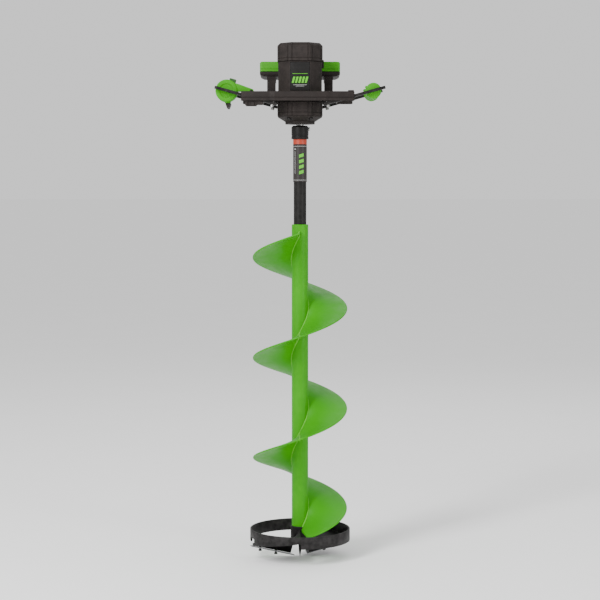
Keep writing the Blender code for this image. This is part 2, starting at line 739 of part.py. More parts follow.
def output_carrier():
    """Output shaft with the planet carrier's disc and its three pins."""
    profile = ((0.0, CARRIER_TOP), (CARRIER_RADIUS, CARRIER_TOP), (CARRIER_RADIUS, CARRIER_BOTTOM),
               (OUTPUT_RADIUS, CARRIER_BOTTOM), (OUTPUT_RADIUS, OUTPUT_BOTTOM + 0.001),
               (OUTPUT_RADIUS - 0.001, OUTPUT_BOTTOM), (0.0, OUTPUT_BOTTOM))
    carrier = turned("output_carrier", profile, BARE_STEEL)
    for number, angle in enumerate(PLANET_ANGLES, start=1):
        join(carrier, rod(f"carrier_pin_{number}", PLANET_PIN_RADIUS, CARRIER_TOP - 0.001,
                          GEAR_TOP + 0.0015, sides=12, location=planet_spot(angle)))
    return cut(carrier, coupler_pin_hole("output_pin_hole", OUTPUT_RADIUS + CUT))


def motor():
    shaft_fit = MOTOR_SHAFT_RADIUS + GAP
    tube("stator", STATOR_RADIUS, ROTOR_RADIUS + 2 * RUNNING, STATOR_BOTTOM, STATOR_TOP, COPPER, 24)
    plate_low = LOWER_HOUSING_TOP + 2 * GAP
    plate_high = plate_low + 0.006
    tube("motor_bearing_lower", BEARING_RADIUS, shaft_fit, plate_low, plate_high - GAP, BARE_STEEL, 20)
    extruded("motor_plate", octagon(MOTOR_HALF - HOUSING_WALL - GAP), plate_low, plate_high, BARE_STEEL,
             holes=[circle(BEARING_RADIUS + GAP, points=20)])
    tube("motor_bearing_upper", BEARING_RADIUS, shaft_fit, CAP_BOSS_BOTTOM + 0.002, MOTOR_SHAFT_TOP - 0.001,
         BARE_STEEL, 20)
    extruded("controller_board", octagon(BOARD_HALF), BOARD_BOTTOM, BOARD_BOTTOM + BOARD_THICKNESS,
             BOARD_GREEN, holes=[circle(CAP_BOSS_RADIUS, points=20)])
    tube("output_bearing", OUTPUT_BEARING_RADIUS, OUTPUT_RADIUS + GAP, GEARCASE_FOOT_TOP + GAP,
         GEARCASE_TOP - 0.001, BARE_STEEL, 20)


# ================================================================ powerhead housings
def gearcase():
    case = octagon_stack("gearcase", ((GEARCASE_FOOT_BOTTOM, GEARCASE_FOOT_HALF),
                                      (GEARCASE_FOOT_TOP, GEARCASE_FOOT_HALF),
                                      (GEARCASE_FOOT_TOP + 0.0012, GEARCASE_FOOT_HALF + 0.0012),
                                      (GEARCASE_TOP, HOUSING_HALF)), BLACK_PLASTIC)
    fit = OUTPUT_BEARING_RADIUS + GAP
    shaft_fit = OUTPUT_RADIUS + RUNNING
    bore = turned("gearcase_bore", ((0.0, GEARCASE_TOP + CUT), (fit, GEARCASE_TOP + CUT),
                                    (fit, GEARCASE_FOOT_TOP), (shaft_fit, GEARCASE_FOOT_TOP),
                                    (shaft_fit, GEARCASE_FOOT_BOTTOM - CUT),
                                    (0.0, GEARCASE_FOOT_BOTTOM - CUT)), None, 24)
    cut(case, bore)
    for name, x in (("left", -CASE_BOLT_X), ("right", CASE_BOLT_X)):
        seat = rod(f"case_bolt_seat_{name}", CASE_BOLT_HEAD + 0.0012, GEARCASE_FOOT_BOTTOM - CUT,
                   GEARCASE_TOP - 0.0035, sides=16, location=(x, -CASE_BOLT_Y, 0))
        hole = rod(f"case_bolt_hole_{name}", CASE_BOLT_SHANK + RUNNING, GEARCASE_FOOT_BOTTOM,
                   GEARCASE_TOP + CUT, sides=12, location=(x, -CASE_BOLT_Y, 0))
        cut(case, seat, hole)
    return case


def case_bolts():
    head_top = GEARCASE_TOP - 0.0035 - GAP
    shank_top = GEARCASE_TOP + 0.008
    profile = ((0.0, shank_top), (CASE_BOLT_SHANK, shank_top), (CASE_BOLT_SHANK, head_top),
               (CASE_BOLT_HEAD, head_top), (CASE_BOLT_HEAD, head_top - 0.0035),
               (0.0, head_top - 0.0035))
    for name, x in (("left", -CASE_BOLT_X), ("right", CASE_BOLT_X)):
        turned(f"gearcase_bolt_{name}", profile, BLACK_STEEL, 12, location=(x, -CASE_BOLT_Y, 0))


def lower_housing():
    housing = octagon_stack("lower_housing", ((GEARCASE_TOP + GAP, HOUSING_HALF - 0.001),
                                              (GEARCASE_TOP + 0.002, HOUSING_HALF),
                                              (LOWER_HOUSING_TOP, HOUSING_HALF)), BLACK_PLASTIC)
    bore = rod("lower_housing_bore", RING_GEAR_RADIUS + GAP, GEARCASE_TOP - CUT, LOWER_HOUSING_TOP + CUT,
               sides=48)
    cut(housing, bore)
    for name, x in (("left", -CASE_BOLT_X), ("right", CASE_BOLT_X)):
        cut(housing, rod(f"housing_bolt_hole_{name}", CASE_BOLT_SHANK + RUNNING, GEARCASE_TOP - CUT,
                         GEARCASE_TOP + 0.009, sides=12, location=(x, -CASE_BOLT_Y, 0)))
    return housing


def motor_housing():
    low, high = LOWER_HOUSING_TOP + GAP, MOTOR_HOUSING_TOP
    shell = octagon_stack("motor_housing", ((low, MOTOR_HALF), (high, MOTOR_HALF)), BLACK_PLASTIC)
    round_edges(shell, EDGE_ROUND)
    cavity = octagon_stack("motor_housing_cavity", ((low - CUT, MOTOR_HALF - HOUSING_WALL),
                                                    (high + CUT, MOTOR_HALF - HOUSING_WALL)))
    recess = box("label_recess", (-LABEL_HALF - GAP, -MOTOR_HALF - CUT, LABEL_BOTTOM - GAP),
                 (LABEL_HALF + GAP, -MOTOR_HALF + LABEL_RECESS, LABEL_TOP + GAP))
    cut(shell, cavity, recess)
    back = -MOTOR_HALF + LABEL_RECESS - GAP
    box("label_panel", (-LABEL_HALF, back - LABEL_THICKNESS, LABEL_BOTTOM), (LABEL_HALF, back, LABEL_TOP),
        LABEL)
    return shell


def top_cap():
    low = MOTOR_HOUSING_TOP + GAP
    shoulder = low + CAP_SHOULDER
    cap = octagon_stack("top_cap", ((low, HOUSING_HALF), (shoulder, HOUSING_HALF),
                                    (shoulder + CAP_CHAMFER, HOUSING_HALF - CAP_CHAMFER)), BLACK_PLASTIC)
    round_edges(cap, EDGE_ROUND)
    inner = MOTOR_HALF - HOUSING_WALL
    cavity = octagon_stack("cap_cavity", ((low - CUT, inner), (shoulder + CAP_CHAMFER - HOUSING_WALL, inner)))
    boss = rod("cap_boss", CAP_BOSS_RADIUS, CAP_BOSS_BOTTOM, shoulder + CAP_CHAMFER - 0.001, sides=24)
    seat = rod("cap_bearing_seat", BEARING_RADIUS + GAP, CAP_BOSS_BOTTOM - CUT, MOTOR_SHAFT_TOP + 0.002,
               sides=20)
    cut(cap, cavity)
    join(cap, boss)
    return cut(cap, seat)


# ================================================================ handle
def handle_place(side):
    """Place of a handle's own frame: origin on the grip's axis, X along the tilted plate."""
    return {"location": (side * GRIP_X, 0.0, GRIP_Z), "rotation": (0.0, -side * HANDLE_TILT, 0.0)}


def handle_matrix(side):
    place = handle_place(side)
    return Matrix.Translation(place["location"]) @ Euler(place["rotation"]).to_matrix().to_4x4()


def frame_outline(inset):
    """H-shaped plan of the handle frame, moved inwards by a wall."""
    front = FRAME_FRONT - inset
    outer = ARM_OUTER_Y - inset
    inner = ARM_INNER_Y + inset
    bulge = FRAME_BULGE_HALF - inset
    block = BLOCK_HALF - inset
    right, left = ARM_END_RIGHT - inset, ARM_END_LEFT - inset
    back_half = [(right, outer), (-left, outer), (-left, inner), (-block, inner)]
    front_half = [(-block, -inner), (-left, -inner), (-left, -outer), (-bulge - FRAME_BULGE_RUN, -outer),
                  (-bulge, -front), (bulge, -front), (bulge + FRAME_BULGE_RUN, -outer), (right, -outer)]
    return [*front_half, (right, -inner), (block, -inner), (block, inner), (right, inner), *back_half]


def plate_outline(side, grow=0.0):
    """U-shaped plate: two arms and the bar that carries the grip, in the handle's own frame."""
    inner_y, outer_y = PLATE_ARM_Y[0] - grow, PLATE_ARM_Y[1] + grow
    reach, tip = PLATE_INNER + grow, PLATE_OUTER + grow
    bar = PLATE_BAR_HALF + grow
    corners = [(-reach, -outer_y), (tip, -outer_y), (tip, -inner_y), (bar, -inner_y), (bar, inner_y),
               (tip, inner_y), (tip, outer_y), (-reach, outer_y), (-reach, inner_y), (-bar, inner_y),
               (-bar, -inner_y), (-reach, -inner_y)]
    return [(side * u, y) for u, y in corners]


def handle_frame():
    frame = extruded("handle_frame", filleted(frame_outline(0.0), FRAME_CORNER, 2), FRAME_BOTTOM, FRAME_TOP,
                     BLACK_PLASTIC)
    cavity = extruded("frame_cavity", frame_outline(FRAME_WALL), FRAME_BOTTOM - CUT,
                      FRAME_TOP - FRAME_WALL)
    window = octagon_stack("frame_window", ((FRAME_BOTTOM - CUT, MOTOR_HALF + GAP),
                                            (FRAME_TOP + CUT, MOTOR_HALF + GAP)))
    cut(frame, cavity, window)
    for name, side in (("left", -1), ("right", 1)):
        for end in (-1, 1):
            y = end * PLATE_ARM_MIDDLE
            spot = handle_matrix(side) @ Vector((-side * BOLT_REACH, y, 0.0))
            turn = handle_place(side)["rotation"]
            label = f"{name}_{'front' if end < 0 else 'rear'}"
            boss_low = PLATE_THICKNESS / 2 + GAP
            join(frame, rod(f"boss_{label}", BOSS_RADIUS, boss_low, BOSS_HEIGHT, sides=16,
                            location=spot, rotation=turn))
            cut(frame, rod(f"boss_hole_{label}", BOLT_SHANK + GAP, boss_low - CUT, BOSS_HEIGHT - 0.003,
                           sides=10, location=spot, rotation=turn))
        half = PLATE_THICKNESS / 2 + GAP
        cut(frame, extruded(f"plate_slot_{name}", plate_outline(side, grow=2 * GAP), -half, half,
                            **handle_place(side)))
    return frame


def handle_plates():
    half = PLATE_THICKNESS / 2
    for name, side in (("left", -1), ("right", 1)):
        outline = filleted(plate_outline(side), PLATE_CORNER, 2, hollows=False)
        plate = extruded(f"handle_plate_{name}", outline, -half, half, BLACK_STEEL, **handle_place(side))
        for end in (-1, 1):
            y = end * PLATE_ARM_MIDDLE
            spot = handle_matrix(side) @ Vector((-side * BOLT_REACH, y, 0.0))
            turn = handle_place(side)["rotation"]
            label = f"{name}_{'front' if end < 0 else 'rear'}"
            cut(plate, rod(f"plate_hole_{label}", BOLT_SHANK + GAP, -half - CUT, half + CUT, sides=10,
                           location=spot, rotation=turn))
            under = -half - GAP
            top = BOSS_HEIGHT - 0.004
            profile = ((0.0, top), (BOLT_SHANK, top), (BOLT_SHANK, under), (BOLT_HEAD, under),
                       (BOLT_HEAD, under - BOLT_HEAD_HEIGHT), (0.0, under - BOLT_HEAD_HEIGHT))
            turned(f"plate_bolt_{label}", profile, BARE_STEEL, 12, location=spot, rotation=turn)


GRIP_HALF = PLATE_ARM_Y[0] - GAP


def bar_cutter(name, side):
    """Room for the plate's bar through a grip or the throttle pod."""
    half = PLATE_THICKNESS / 2 + GAP
    width = PLATE_BAR_HALF + GAP
    return box(name, (-width, -GRIP_HALF - CUT, -half), (width, GRIP_HALF + CUT, half), **handle_place(side))


def along_y(side):
    place = handle_place(side)
    return {"location": place["location"], "rotation": (-math.pi / 2, 0.0, 0.0)}


def grips():
    right = rod("grip_right", GRIP_RADIUS, -GRIP_HALF, GRIP_HALF, GREEN_PLASTIC, sides=28, **along_y(1))
    round_edges(right, 0.0015, angle=50.0)
    cut(right, bar_cutter("grip_right_bar", 1))
    left = rod("grip_left", GRIP_RADIUS, POD_BACK + GAP, GRIP_HALF, GREEN_PLASTIC, sides=28, **along_y(-1))
    round_edges(left, 0.0015, angle=50.0)
    cut(left, bar_cutter("grip_left_bar", -1))


def throttle_pod():
    """Round pod at the front of the left grip, with a neck that runs down to the frame."""
    pod = rod("throttle_pod", POD_RADIUS, -GRIP_HALF, POD_BACK, GREEN_PLASTIC, sides=32, **along_y(-1))
    round_edges(pod, 0.002, angle=50.0)
    foot = FRAME_TOP + GAP
    neck_side = [(-GRIP_X + 0.006, 0.9575), (-0.134, 0.9568), (-0.121, 0.9530), (NECK_FOOT_X, 0.9425),
                 (NECK_FOOT_X, foot), (-GRIP_X + 0.006, foot)]
    neck = extruded("pod_neck", neck_side, -NECK_BACK, GRIP_HALF - 0.002, rotation=(math.pi / 2, 0, 0))
    join(pod, neck)
    slot = box("trigger_slot", (TRIGGER_X - TRIGGER_WIDTH / 2 - RUNNING, TRIGGER_PIVOT_Y - 0.0065,
                                GRIP_Z - POD_RADIUS - CUT),
               (TRIGGER_X + TRIGGER_WIDTH / 2 + RUNNING, POD_BACK + CUT, TRIGGER_PIVOT_Z + 0.009))
    pin_hole = rod("trigger_pin_hole", TRIGGER_PIN_RADIUS + GAP, -0.0085, 0.0085, sides=10,
                   location=(TRIGGER_X, TRIGGER_PIVOT_Y, TRIGGER_PIVOT_Z), rotation=(0, math.pi / 2, 0))
    width = BUTTON_WIDTH / 2 + RUNNING
    length = BUTTON_LENGTH / 2 + RUNNING
    pocket = box("button_pocket", (BUTTON_U - width, BUTTON_Y - length, BUTTON_POCKET),
                 (BUTTON_U + width, BUTTON_Y + length, POD_RADIUS + 0.01), **handle_place(-1))
    return cut(pod, bar_cutter("pod_bar", -1), slot, pin_hole, pocket)


def lock_button():
    low = (BUTTON_U - BUTTON_WIDTH / 2, BUTTON_Y - BUTTON_LENGTH / 2, BUTTON_BOTTOM)
    high = (BUTTON_U + BUTTON_WIDTH / 2, BUTTON_Y + BUTTON_LENGTH / 2, BUTTON_TOP)
    button = box("lock_button", low, high, GREEN_PLASTIC, **handle_place(-1))
    return round_edges(button, 0.001)


def throttle_trigger():
    """Finger lever under the left grip, hinged in the pod; its keel narrows downwards."""
    keel, top = TRIGGER_KEEL_Z, TRIGGER_TOP_Z
    y, z = TRIGGER_PIVOT_Y, TRIGGER_PIVOT_Z
    boss = 0.0048
    side = [(y - boss, z + boss), (y - boss, top), (y - 0.007, keel + 0.006), (y - 0.003, keel + 0.001),
            (y + 0.004, keel), (TRIGGER_BACK - 0.010, keel), (TRIGGER_BACK, keel + 0.005),
            (TRIGGER_BACK, top), (y + boss, top), (y + boss, z + boss)]
    corners = [(yy - y, zz - z) for yy, zz in side]
    lever = extruded("throttle_trigger", corners, -TRIGGER_WIDTH / 2, TRIGGER_WIDTH / 2, BLACK_PLASTIC,
                     location=(TRIGGER_X, y, z), rotation=(math.pi / 2, 0, math.pi / 2))
    for vert in lever.data.vertices:
        depth = max(0.0, (top - z) - vert.co.y) / (top - keel)
        vert.co.z *= 1.0 - 0.62 * min(1.0, depth)
    cut(lever, rod("trigger_bore", TRIGGER_PIN_RADIUS + RUNNING, -0.02, 0.02, sides=10,
                   location=(TRIGGER_X, y, z), rotation=(0, math.pi / 2, 0)))
    rod("trigger_pin", TRIGGER_PIN_RADIUS, -0.008, 0.008, BARE_STEEL, sides=10,
        location=(TRIGGER_X, y, z), rotation=(0, math.pi / 2, 0))
    return lever


def switch_box():
    """Box under the left front arm, shaped to the plate above it, with a rocker in its front."""
    def plate_underside(x):
        return GRIP_Z - (x + GRIP_X) * math.tan(HANDLE_TILT) - (PLATE_THICKNESS / 2 + GAP) / math.cos(HANDLE_TILT)
    left, right, tail = -0.108, -0.0845, -0.073
    side = [(left, plate_underside(left)), (left, 0.9115), (left + 0.0025, 0.909), (right - 0.0015, 0.909),
            (right, 0.9115), (tail - 0.0015, 0.9115), (tail, 0.9125), (tail, plate_underside(tail))]
    body = extruded("switch_box", side, -SWITCH_Y[1], -SWITCH_Y[0], BLACK_PLASTIC,
                    rotation=(math.pi / 2, 0, 0))
    pocket = box("rocker_pocket", (ROCKER_X - ROCKER_HALF - ROCKER_PLAY, SWITCH_Y[0] - CUT, ROCKER_Z[0] - RUNNING),
                 (ROCKER_X + ROCKER_HALF + ROCKER_PLAY, ROCKER_Y + 0.004, ROCKER_Z[1] + RUNNING))
    cut(body, pocket)
    front = SWITCH_Y[0] - ROCKER_Y
    rocker = [(-ROCKER_HALF, front - 0.0012), (0.0, front), (ROCKER_HALF, front - 0.0012),
              (ROCKER_HALF - 0.0006, 0.0010), (0.0, 0.0030), (-ROCKER_HALF + 0.0006, 0.0010)]
    extruded("direction_switch", rocker, ROCKER_Z[0], ROCKER_Z[1], BLACK_PLASTIC,
             location=(ROCKER_X, ROCKER_Y, 0.0))


# ================================================================ battery
def battery_lower():
    low, high = BATTERY_BOTTOM, BATTERY_SPLIT - GAP
    across, up = BATTERY_FOOT_CHAMFER
    outline = filleted([(-BATTERY_HALF, high), (-BATTERY_HALF, low + up), (-BATTERY_HALF + across, low),
                        (BATTERY_HALF - across, low), (BATTERY_HALF, low + up), (BATTERY_HALF, high)],
                       0.0008, 1)
    tray = extruded("battery_lower", outline, -BATTERY_BACK, -BATTERY_FRONT, BLACK_PLASTIC,
                    rotation=(math.pi / 2, 0, 0))
    wall = BATTERY_WALL
    cavity = box("tray_cavity", (-BATTERY_HALF + wall, BATTERY_FRONT + wall, low + BATTERY_FLOOR),
                 (BATTERY_HALF - wall, BATTERY_BACK - wall, high + CUT))
    cut(tray, cavity)
    for name, side in (("left", -1), ("right", 1)):
        edges = sorted((side * (RIB_X[0] - RUNNING), side * (RIB_X[1] + RUNNING)))
        cut(tray, box(f"rail_groove_{name}", (edges[0], BATTERY_FRONT - CUT, low - CUT),
                      (edges[1], RAIL_BACK + RUNNING, low + RIB_HEIGHT + RUNNING)))
    return tray


def battery_upper():
    low, high = BATTERY_SPLIT, BATTERY_TOP
    shell = box("battery_upper", (-BATTERY_HALF, BATTERY_FRONT, low), (BATTERY_HALF, BATTERY_BACK, high),
                GREEN_PLASTIC)
    round_edges(shell, 0.0015)
    wall = BATTERY_WALL
    cavity = box("lid_cavity", (-BATTERY_HALF + wall, BATTERY_FRONT + wall, low - CUT),
                 (BATTERY_HALF - wall, BATTERY_BACK - wall, high - wall))
    pocket = box("latch_pocket", (LATCH_X[0] - RUNNING, BATTERY_FRONT - CUT, LATCH_PIVOT_Z - 0.004),
                 (LATCH_X[1] + RUNNING, BATTERY_FRONT + LATCH_POCKET, high + CUT))
    block = box("latch_block", (LATCH_X[0] - wall, BATTERY_FRONT + wall / 2, LATCH_PIVOT_Z - 0.006),
                (LATCH_X[1] + wall, BATTERY_FRONT + LATCH_POCKET + wall, high - 0.001))
    cut(shell, cavity)
    join(shell, block)
    return cut(shell, pocket)


def cell_pack():
    """Seven round cells in one wrap, side by side."""
    pitch = 2 * CELL_RADIUS * CELL_SPACING
    middle = BATTERY_BOTTOM + BATTERY_FLOOR + GAP + CELL_RADIUS
    sag = math.acos(CELL_SPACING)
    arc = [sag + (math.pi - 2 * sag) * step / 4 for step in range(5)]
    scallops = []
    for cell in range(CELL_COUNT):
        x = ((CELL_COUNT - 1) / 2 - cell) * pitch
        used = arc if cell == 0 else arc[1:]
        scallops += [(x + CELL_RADIUS * math.cos(angle), CELL_RADIUS * math.sin(angle)) for angle in used]
    outline = [(x, middle + z) for x, z in scallops]
    outline += [(-x, middle - z) for x, z in scallops]
    return extruded("cell_pack", outline, -CELL_BACK, -CELL_FRONT, CELL_WRAP, rotation=(math.pi / 2, 0, 0))


def battery_dock():
    """Base on the frame, two posts and the rails that the battery slides on."""
    dock = box("battery_dock", (-POST_X[1], POST_Y[0], FRAME_TOP + GAP), (POST_X[1], POST_Y[1], DOCK_BASE_TOP),
               BLACK_PLASTIC)
    rail_top = BATTERY_BOTTOM - GAP
    for name, side in (("left", -1), ("right", 1)):
        x = sorted((side * POST_X[0], side * POST_X[1]))
        side_view = [(POST_Y[0], FRAME_TOP + GAP), (POST_Y[1], FRAME_TOP + GAP),
                     (POST_Y[1], RAIL_BOTTOM - BRACE), (POST_Y[1] + BRACE, RAIL_BOTTOM),
                     (RAIL_BACK, RAIL_BOTTOM), (RAIL_BACK, rail_top), (POST_Y[0], rail_top)]
        post = extruded(f"dock_post_{name}", side_view, x[0], x[1], rotation=(math.pi / 2, 0, math.pi / 2))
        rib_x = sorted((side * RIB_X[0], side * RIB_X[1]))
        rib = box(f"dock_rib_{name}", (rib_x[0], POST_Y[1], rail_top - 0.001),
                  (rib_x[1], RAIL_BACK, BATTERY_BOTTOM + RIB_HEIGHT))
        join(dock, post, rib)
    return dock


def battery_latch():
    """Small lever on the battery's front edge, hinged about X in its pocket."""
    y, z = LATCH_PIVOT_Y, LATCH_PIVOT_Z
    side = [(-0.0027, -0.003), (0.0027, -0.003), (0.0032, 0.004), (0.0032, LATCH_TOP - z - 0.003),
            (0.0052, LATCH_TOP - z), (-0.0040, LATCH_TOP - z), (-0.0044, LATCH_TOP - z - 0.004),
            (-0.0024, LATCH_TOP - z - 0.005)]
    return extruded("battery_latch", side, LATCH_X[0], LATCH_X[1], BLACK_PLASTIC, location=(0.0, y, z),
                    rotation=(math.pi / 2, 0, math.pi / 2))


# ================================================================ build
def build():
    centre_point()
    cutter_hub()
    cutter_ring()
    for number, azimuth in enumerate(BLADE_AZIMUTHS, start=1):
        blade_holder(number, azimuth)
        blade(number, azimuth)
        blade_screws(number, azimuth)
    auger_tube()
    flight_sections()
    extension_shaft()
    shaft_bolt()
    label_sleeve()
    coupler_collar()
    coupler_pin()
    output_carrier()
    gears()
    rotor()
    motor()
    gearcase()
    case_bolts()
    lower_housing()
    motor_housing()
    top_cap()
    handle_frame()
    handle_plates()
    grips()
    throttle_pod()
    lock_button()
    throttle_trigger()
    switch_box()
    battery_lower()
    battery_upper()
    cell_pack()
    battery_dock()
    battery_latch()


build()
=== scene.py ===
"""Looks of the battery ice fishing auger: fine shells, flighting, marks and procedural finishes.

Metres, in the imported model's frame.  Angles round the drill axis are counted from the front,
anticlockwise seen from above.
"""
import math

import bmesh
import bpy
from mathutils import Euler, Matrix, Vector


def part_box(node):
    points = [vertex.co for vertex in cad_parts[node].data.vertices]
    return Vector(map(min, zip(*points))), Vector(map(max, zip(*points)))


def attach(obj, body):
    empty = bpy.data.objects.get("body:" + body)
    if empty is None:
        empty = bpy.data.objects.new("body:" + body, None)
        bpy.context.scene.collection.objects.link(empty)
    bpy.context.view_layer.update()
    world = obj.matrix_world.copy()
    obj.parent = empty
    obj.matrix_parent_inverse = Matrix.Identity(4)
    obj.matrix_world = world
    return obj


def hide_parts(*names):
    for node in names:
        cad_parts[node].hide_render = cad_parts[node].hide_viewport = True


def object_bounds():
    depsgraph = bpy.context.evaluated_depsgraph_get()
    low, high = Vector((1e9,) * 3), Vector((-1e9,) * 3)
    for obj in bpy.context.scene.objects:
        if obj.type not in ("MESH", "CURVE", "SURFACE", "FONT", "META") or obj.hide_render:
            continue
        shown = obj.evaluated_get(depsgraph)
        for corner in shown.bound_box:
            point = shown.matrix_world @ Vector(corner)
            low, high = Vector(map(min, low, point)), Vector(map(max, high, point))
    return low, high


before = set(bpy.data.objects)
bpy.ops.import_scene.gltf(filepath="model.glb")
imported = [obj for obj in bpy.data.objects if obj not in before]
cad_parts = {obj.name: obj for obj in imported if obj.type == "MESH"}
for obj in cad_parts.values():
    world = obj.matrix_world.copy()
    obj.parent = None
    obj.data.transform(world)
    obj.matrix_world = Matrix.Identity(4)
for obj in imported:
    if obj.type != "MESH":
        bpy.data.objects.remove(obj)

cad_low, cad_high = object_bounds()

# ---------------------------------------------------------------- driving sizes
PITCH = 0.203
FLIGHT_FRONT_Z = 0.050          # height of the helix where it crosses the front
FLIGHT_THICKNESS = 0.003
FLIGHT_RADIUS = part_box("flight_section_2")[1].x
TUBE_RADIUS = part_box("auger_tube")[1].x
FLIGHT_STARTS = (10.0, 360.0, 720.0)
FLIGHT_END = 1080.0
FLIGHT_JOINT = 0.6              # degrees left between two sections
FLIGHT_STEP = 3.0               # degrees between a section's loops
WELD_STEP = 1.5                 # degrees between the points of a weld along the tube
FLIGHT_BEAD = 0.0013            # half widths of the welds
JOINT_BEAD = 0.0011
RAMP_BEAD = 0.0014

BLADE_AZIMUTHS = (281.0, 101.0)
BLADE_SPAN = (0.015, 0.103)     # radii between which the blade line climbs
BLADE_LINE_Z = (0.006, 0.0275)
RAMP_SWEEP = 80.0
RAMP_SPAN = (0.019, 0.1015)     # radii of a ramp's ends at the hub and at the ring
RAMP_END_Z = (0.0545, 0.0455)   # lower face of a ramp's end, at the hub and at the ring
RAMP_THICKNESS = 0.004
HUB_RADIUS = 0.019
NOTCH_SWEEP = 13.0              # degrees of the ring that are cut away over a blade
NOTCH_Z = 0.043
RING_LEVEL_SWEEP = 4.0          # degrees of level edge at a ramp's end
RING_LOW_Z = 0.0347             # the ring's lower edge away from the ramps
RING_STEPS = 480

FACET_SHARE = 21.0 / 45.0       # half a front facet over half the octagon
SEAM_DEPTH = 0.0006             # grooves round the housings
PANEL_GAP = 0.0006              # between the badge plate and the sides of its recess

HANDLE_TILT = math.radians(15.5)
GRIP_X = 0.145
GRIP_Z = 0.940
GRIP_RING_SPACING = 0.0042
PLATE_ARM_Y = 0.057             # middle of a handle plate's arm
BOLT_REACH = 0.0944             # from the grip's axis back to the plate's bolts
FRAME_TOP = 0.938
FRAME_WALL = 0.003

MARK_RAISE = 0.0001             # how far printed marks stand off their panel
MARK_EDGE = 0.00002
SLEEVE_BAR_AZIMUTH = 12.0
SLEEVE_RULE_AZIMUTH = -45.0
UPRIGHT = Matrix.Rotation(math.pi / 2, 4, "X")      # turns a flat outline to face the front

FLOOR_REACH = 300.0
SKY_STRENGTH = 0.95
LAMP_TARGET = (0, 0, 0.55)
CAMERA_SPOT = (-0.003, -3.34, 0.734)
CAMERA_TARGET = (0.0, 0.0, 0.523)
CAMERA_LENS = 99.5
FINISH = "_finish"              # added to a material slot's name

# ---------------------------------------------------------------- shares of a noise's values
COMMON = (0.3, 0.7)             # most of the values
SPECKS = (0.62, 0.80)           # the few highest
SPECK_SHARE = 0.22
CREST = (0.515, 0.60)           # pointiness where the paler edges (painted highlight and rubbing) start and where they are full


# ================================================================ procedural finishes
def node(tree, kind, inputs=None, **settings):
    """A shader node with its inputs and settings filled in."""
    made = tree.nodes.new("ShaderNode" + kind)
    for name, value in settings.items():
        setattr(made, name, value)
    for name, value in (inputs or {}).items():
        made.inputs[name].default_value = value
    return made


def noise(tree, place, scale, detail=3.0, roughness=0.55):
    """Values of a noise texture at a place."""
    made = node(tree, "TexNoise", {"Scale": scale, "Detail": detail, "Roughness": roughness})
    tree.links.new(place, made.inputs["Vector"])
    return made.outputs["Fac"]


def span(tree, value, source, low=0.0, high=1.0):
    """Stretch the part of a value that lies in the source range onto another range."""
    made = node(tree, "MapRange", {"From Min": source[0], "From Max": source[1],
                                   "To Min": low, "To Max": high})
    tree.links.new(value, made.inputs["Value"])
    return made.outputs["Result"]


def product(tree, first, second):
    """Two values multiplied."""
    made = node(tree, "Math", operation="MULTIPLY")
    tree.links.new(first, made.inputs[0])
    tree.links.new(second, made.inputs[1])
    return made.outputs[0]


def mix(tree, share, first, second):
    """Blend of two colours; each is a colour or a socket."""
    made = node(tree, "Mix", data_type="RGBA")
    tree.links.new(share, made.inputs["Factor"])
    for socket, colour in ((made.inputs[6], first), (made.inputs[7], second)):
        if isinstance(colour, tuple):
            socket.default_value = (*colour, 1.0)
        else:
            tree.links.new(colour, socket)
    return made.outputs[2]


def start_finish(name, metallic=0.0, specular=0.5):
    """An empty material with its tree, its shader and the piece's own coordinates."""
    made = bpy.data.materials.new(name + FINISH)
    made.use_nodes = True
    tree = made.node_tree
    shader = tree.nodes["Principled BSDF"]
    shader.inputs["Metallic"].default_value = metallic
    shader.inputs["Specular IOR Level"].default_value = specular
    place = node(tree, "TexCoord").outputs["Object"]
    return made, tree, shader, place


def dress(tree, shader, tone, gloss, height, strength, depth):
    """Join a finish's tone, its roughness and its relief to the shader."""
    relief = node(tree, "Bump", {"Strength": strength, "Distance": depth})
    tree.links.new(height, relief.inputs["Height"])
    tree.links.new(tone, shader.inputs["Base Color"])
    tree.links.new(gloss, shader.inputs["Roughness"])
    tree.links.new(relief.outputs["Normal"], shader.inputs["Normal"])


def highlit_and_rubbed_edges(tree, place, amount):
    """1 where an outward edge is paled, broken up by noise: partly rubbed, partly a painted edge highlight.
    """
    crest = span(tree, node(tree, "NewGeometry").outputs["Pointiness"], CREST)
    patches = span(tree, noise(tree, place, 90.0, detail=5.0), (0.35, 0.7), high=amount)
    return product(tree, crest, patches)


def surface(name, base, deep, pale_tone, roughness, grain, depth, drift=9.0, edge_highlight_and_rub=0.5, **shell):
    """Painted or moulded surface: tone drift, uneven gloss, fine grain and paler edges, partly rubbed and
    partly a painted highlight.
    """
    made, tree, shader, place = start_finish(name, **shell)
    tone = mix(tree, span(tree, noise(tree, place, drift), COMMON), deep, base)
    specks = noise(tree, place, grain * 0.5, detail=2.0)
    tone = mix(tree, span(tree, specks, SPECKS, high=SPECK_SHARE), tone, pale_tone)
    # paler edges: a painted highlight on the crests, mixed with rubbing
    tone = mix(tree, highlit_and_rubbed_edges(tree, place, edge_highlight_and_rub), tone, pale_tone)
    patches = noise(tree, place, drift * 6.0, detail=5.0)
    gloss = span(tree, patches, COMMON, roughness - 0.07, roughness + 0.08)
    dress(tree, shader, tone, gloss, noise(tree, place, grain, detail=2.0), 0.5, depth)
    return made


def stretched(tree, place, scale):
    """Coordinates scaled by a different amount along each axis."""
    made = node(tree, "Mapping", {"Scale": scale})
    tree.links.new(place, made.inputs["Vector"])
    return made.outputs["Vector"]


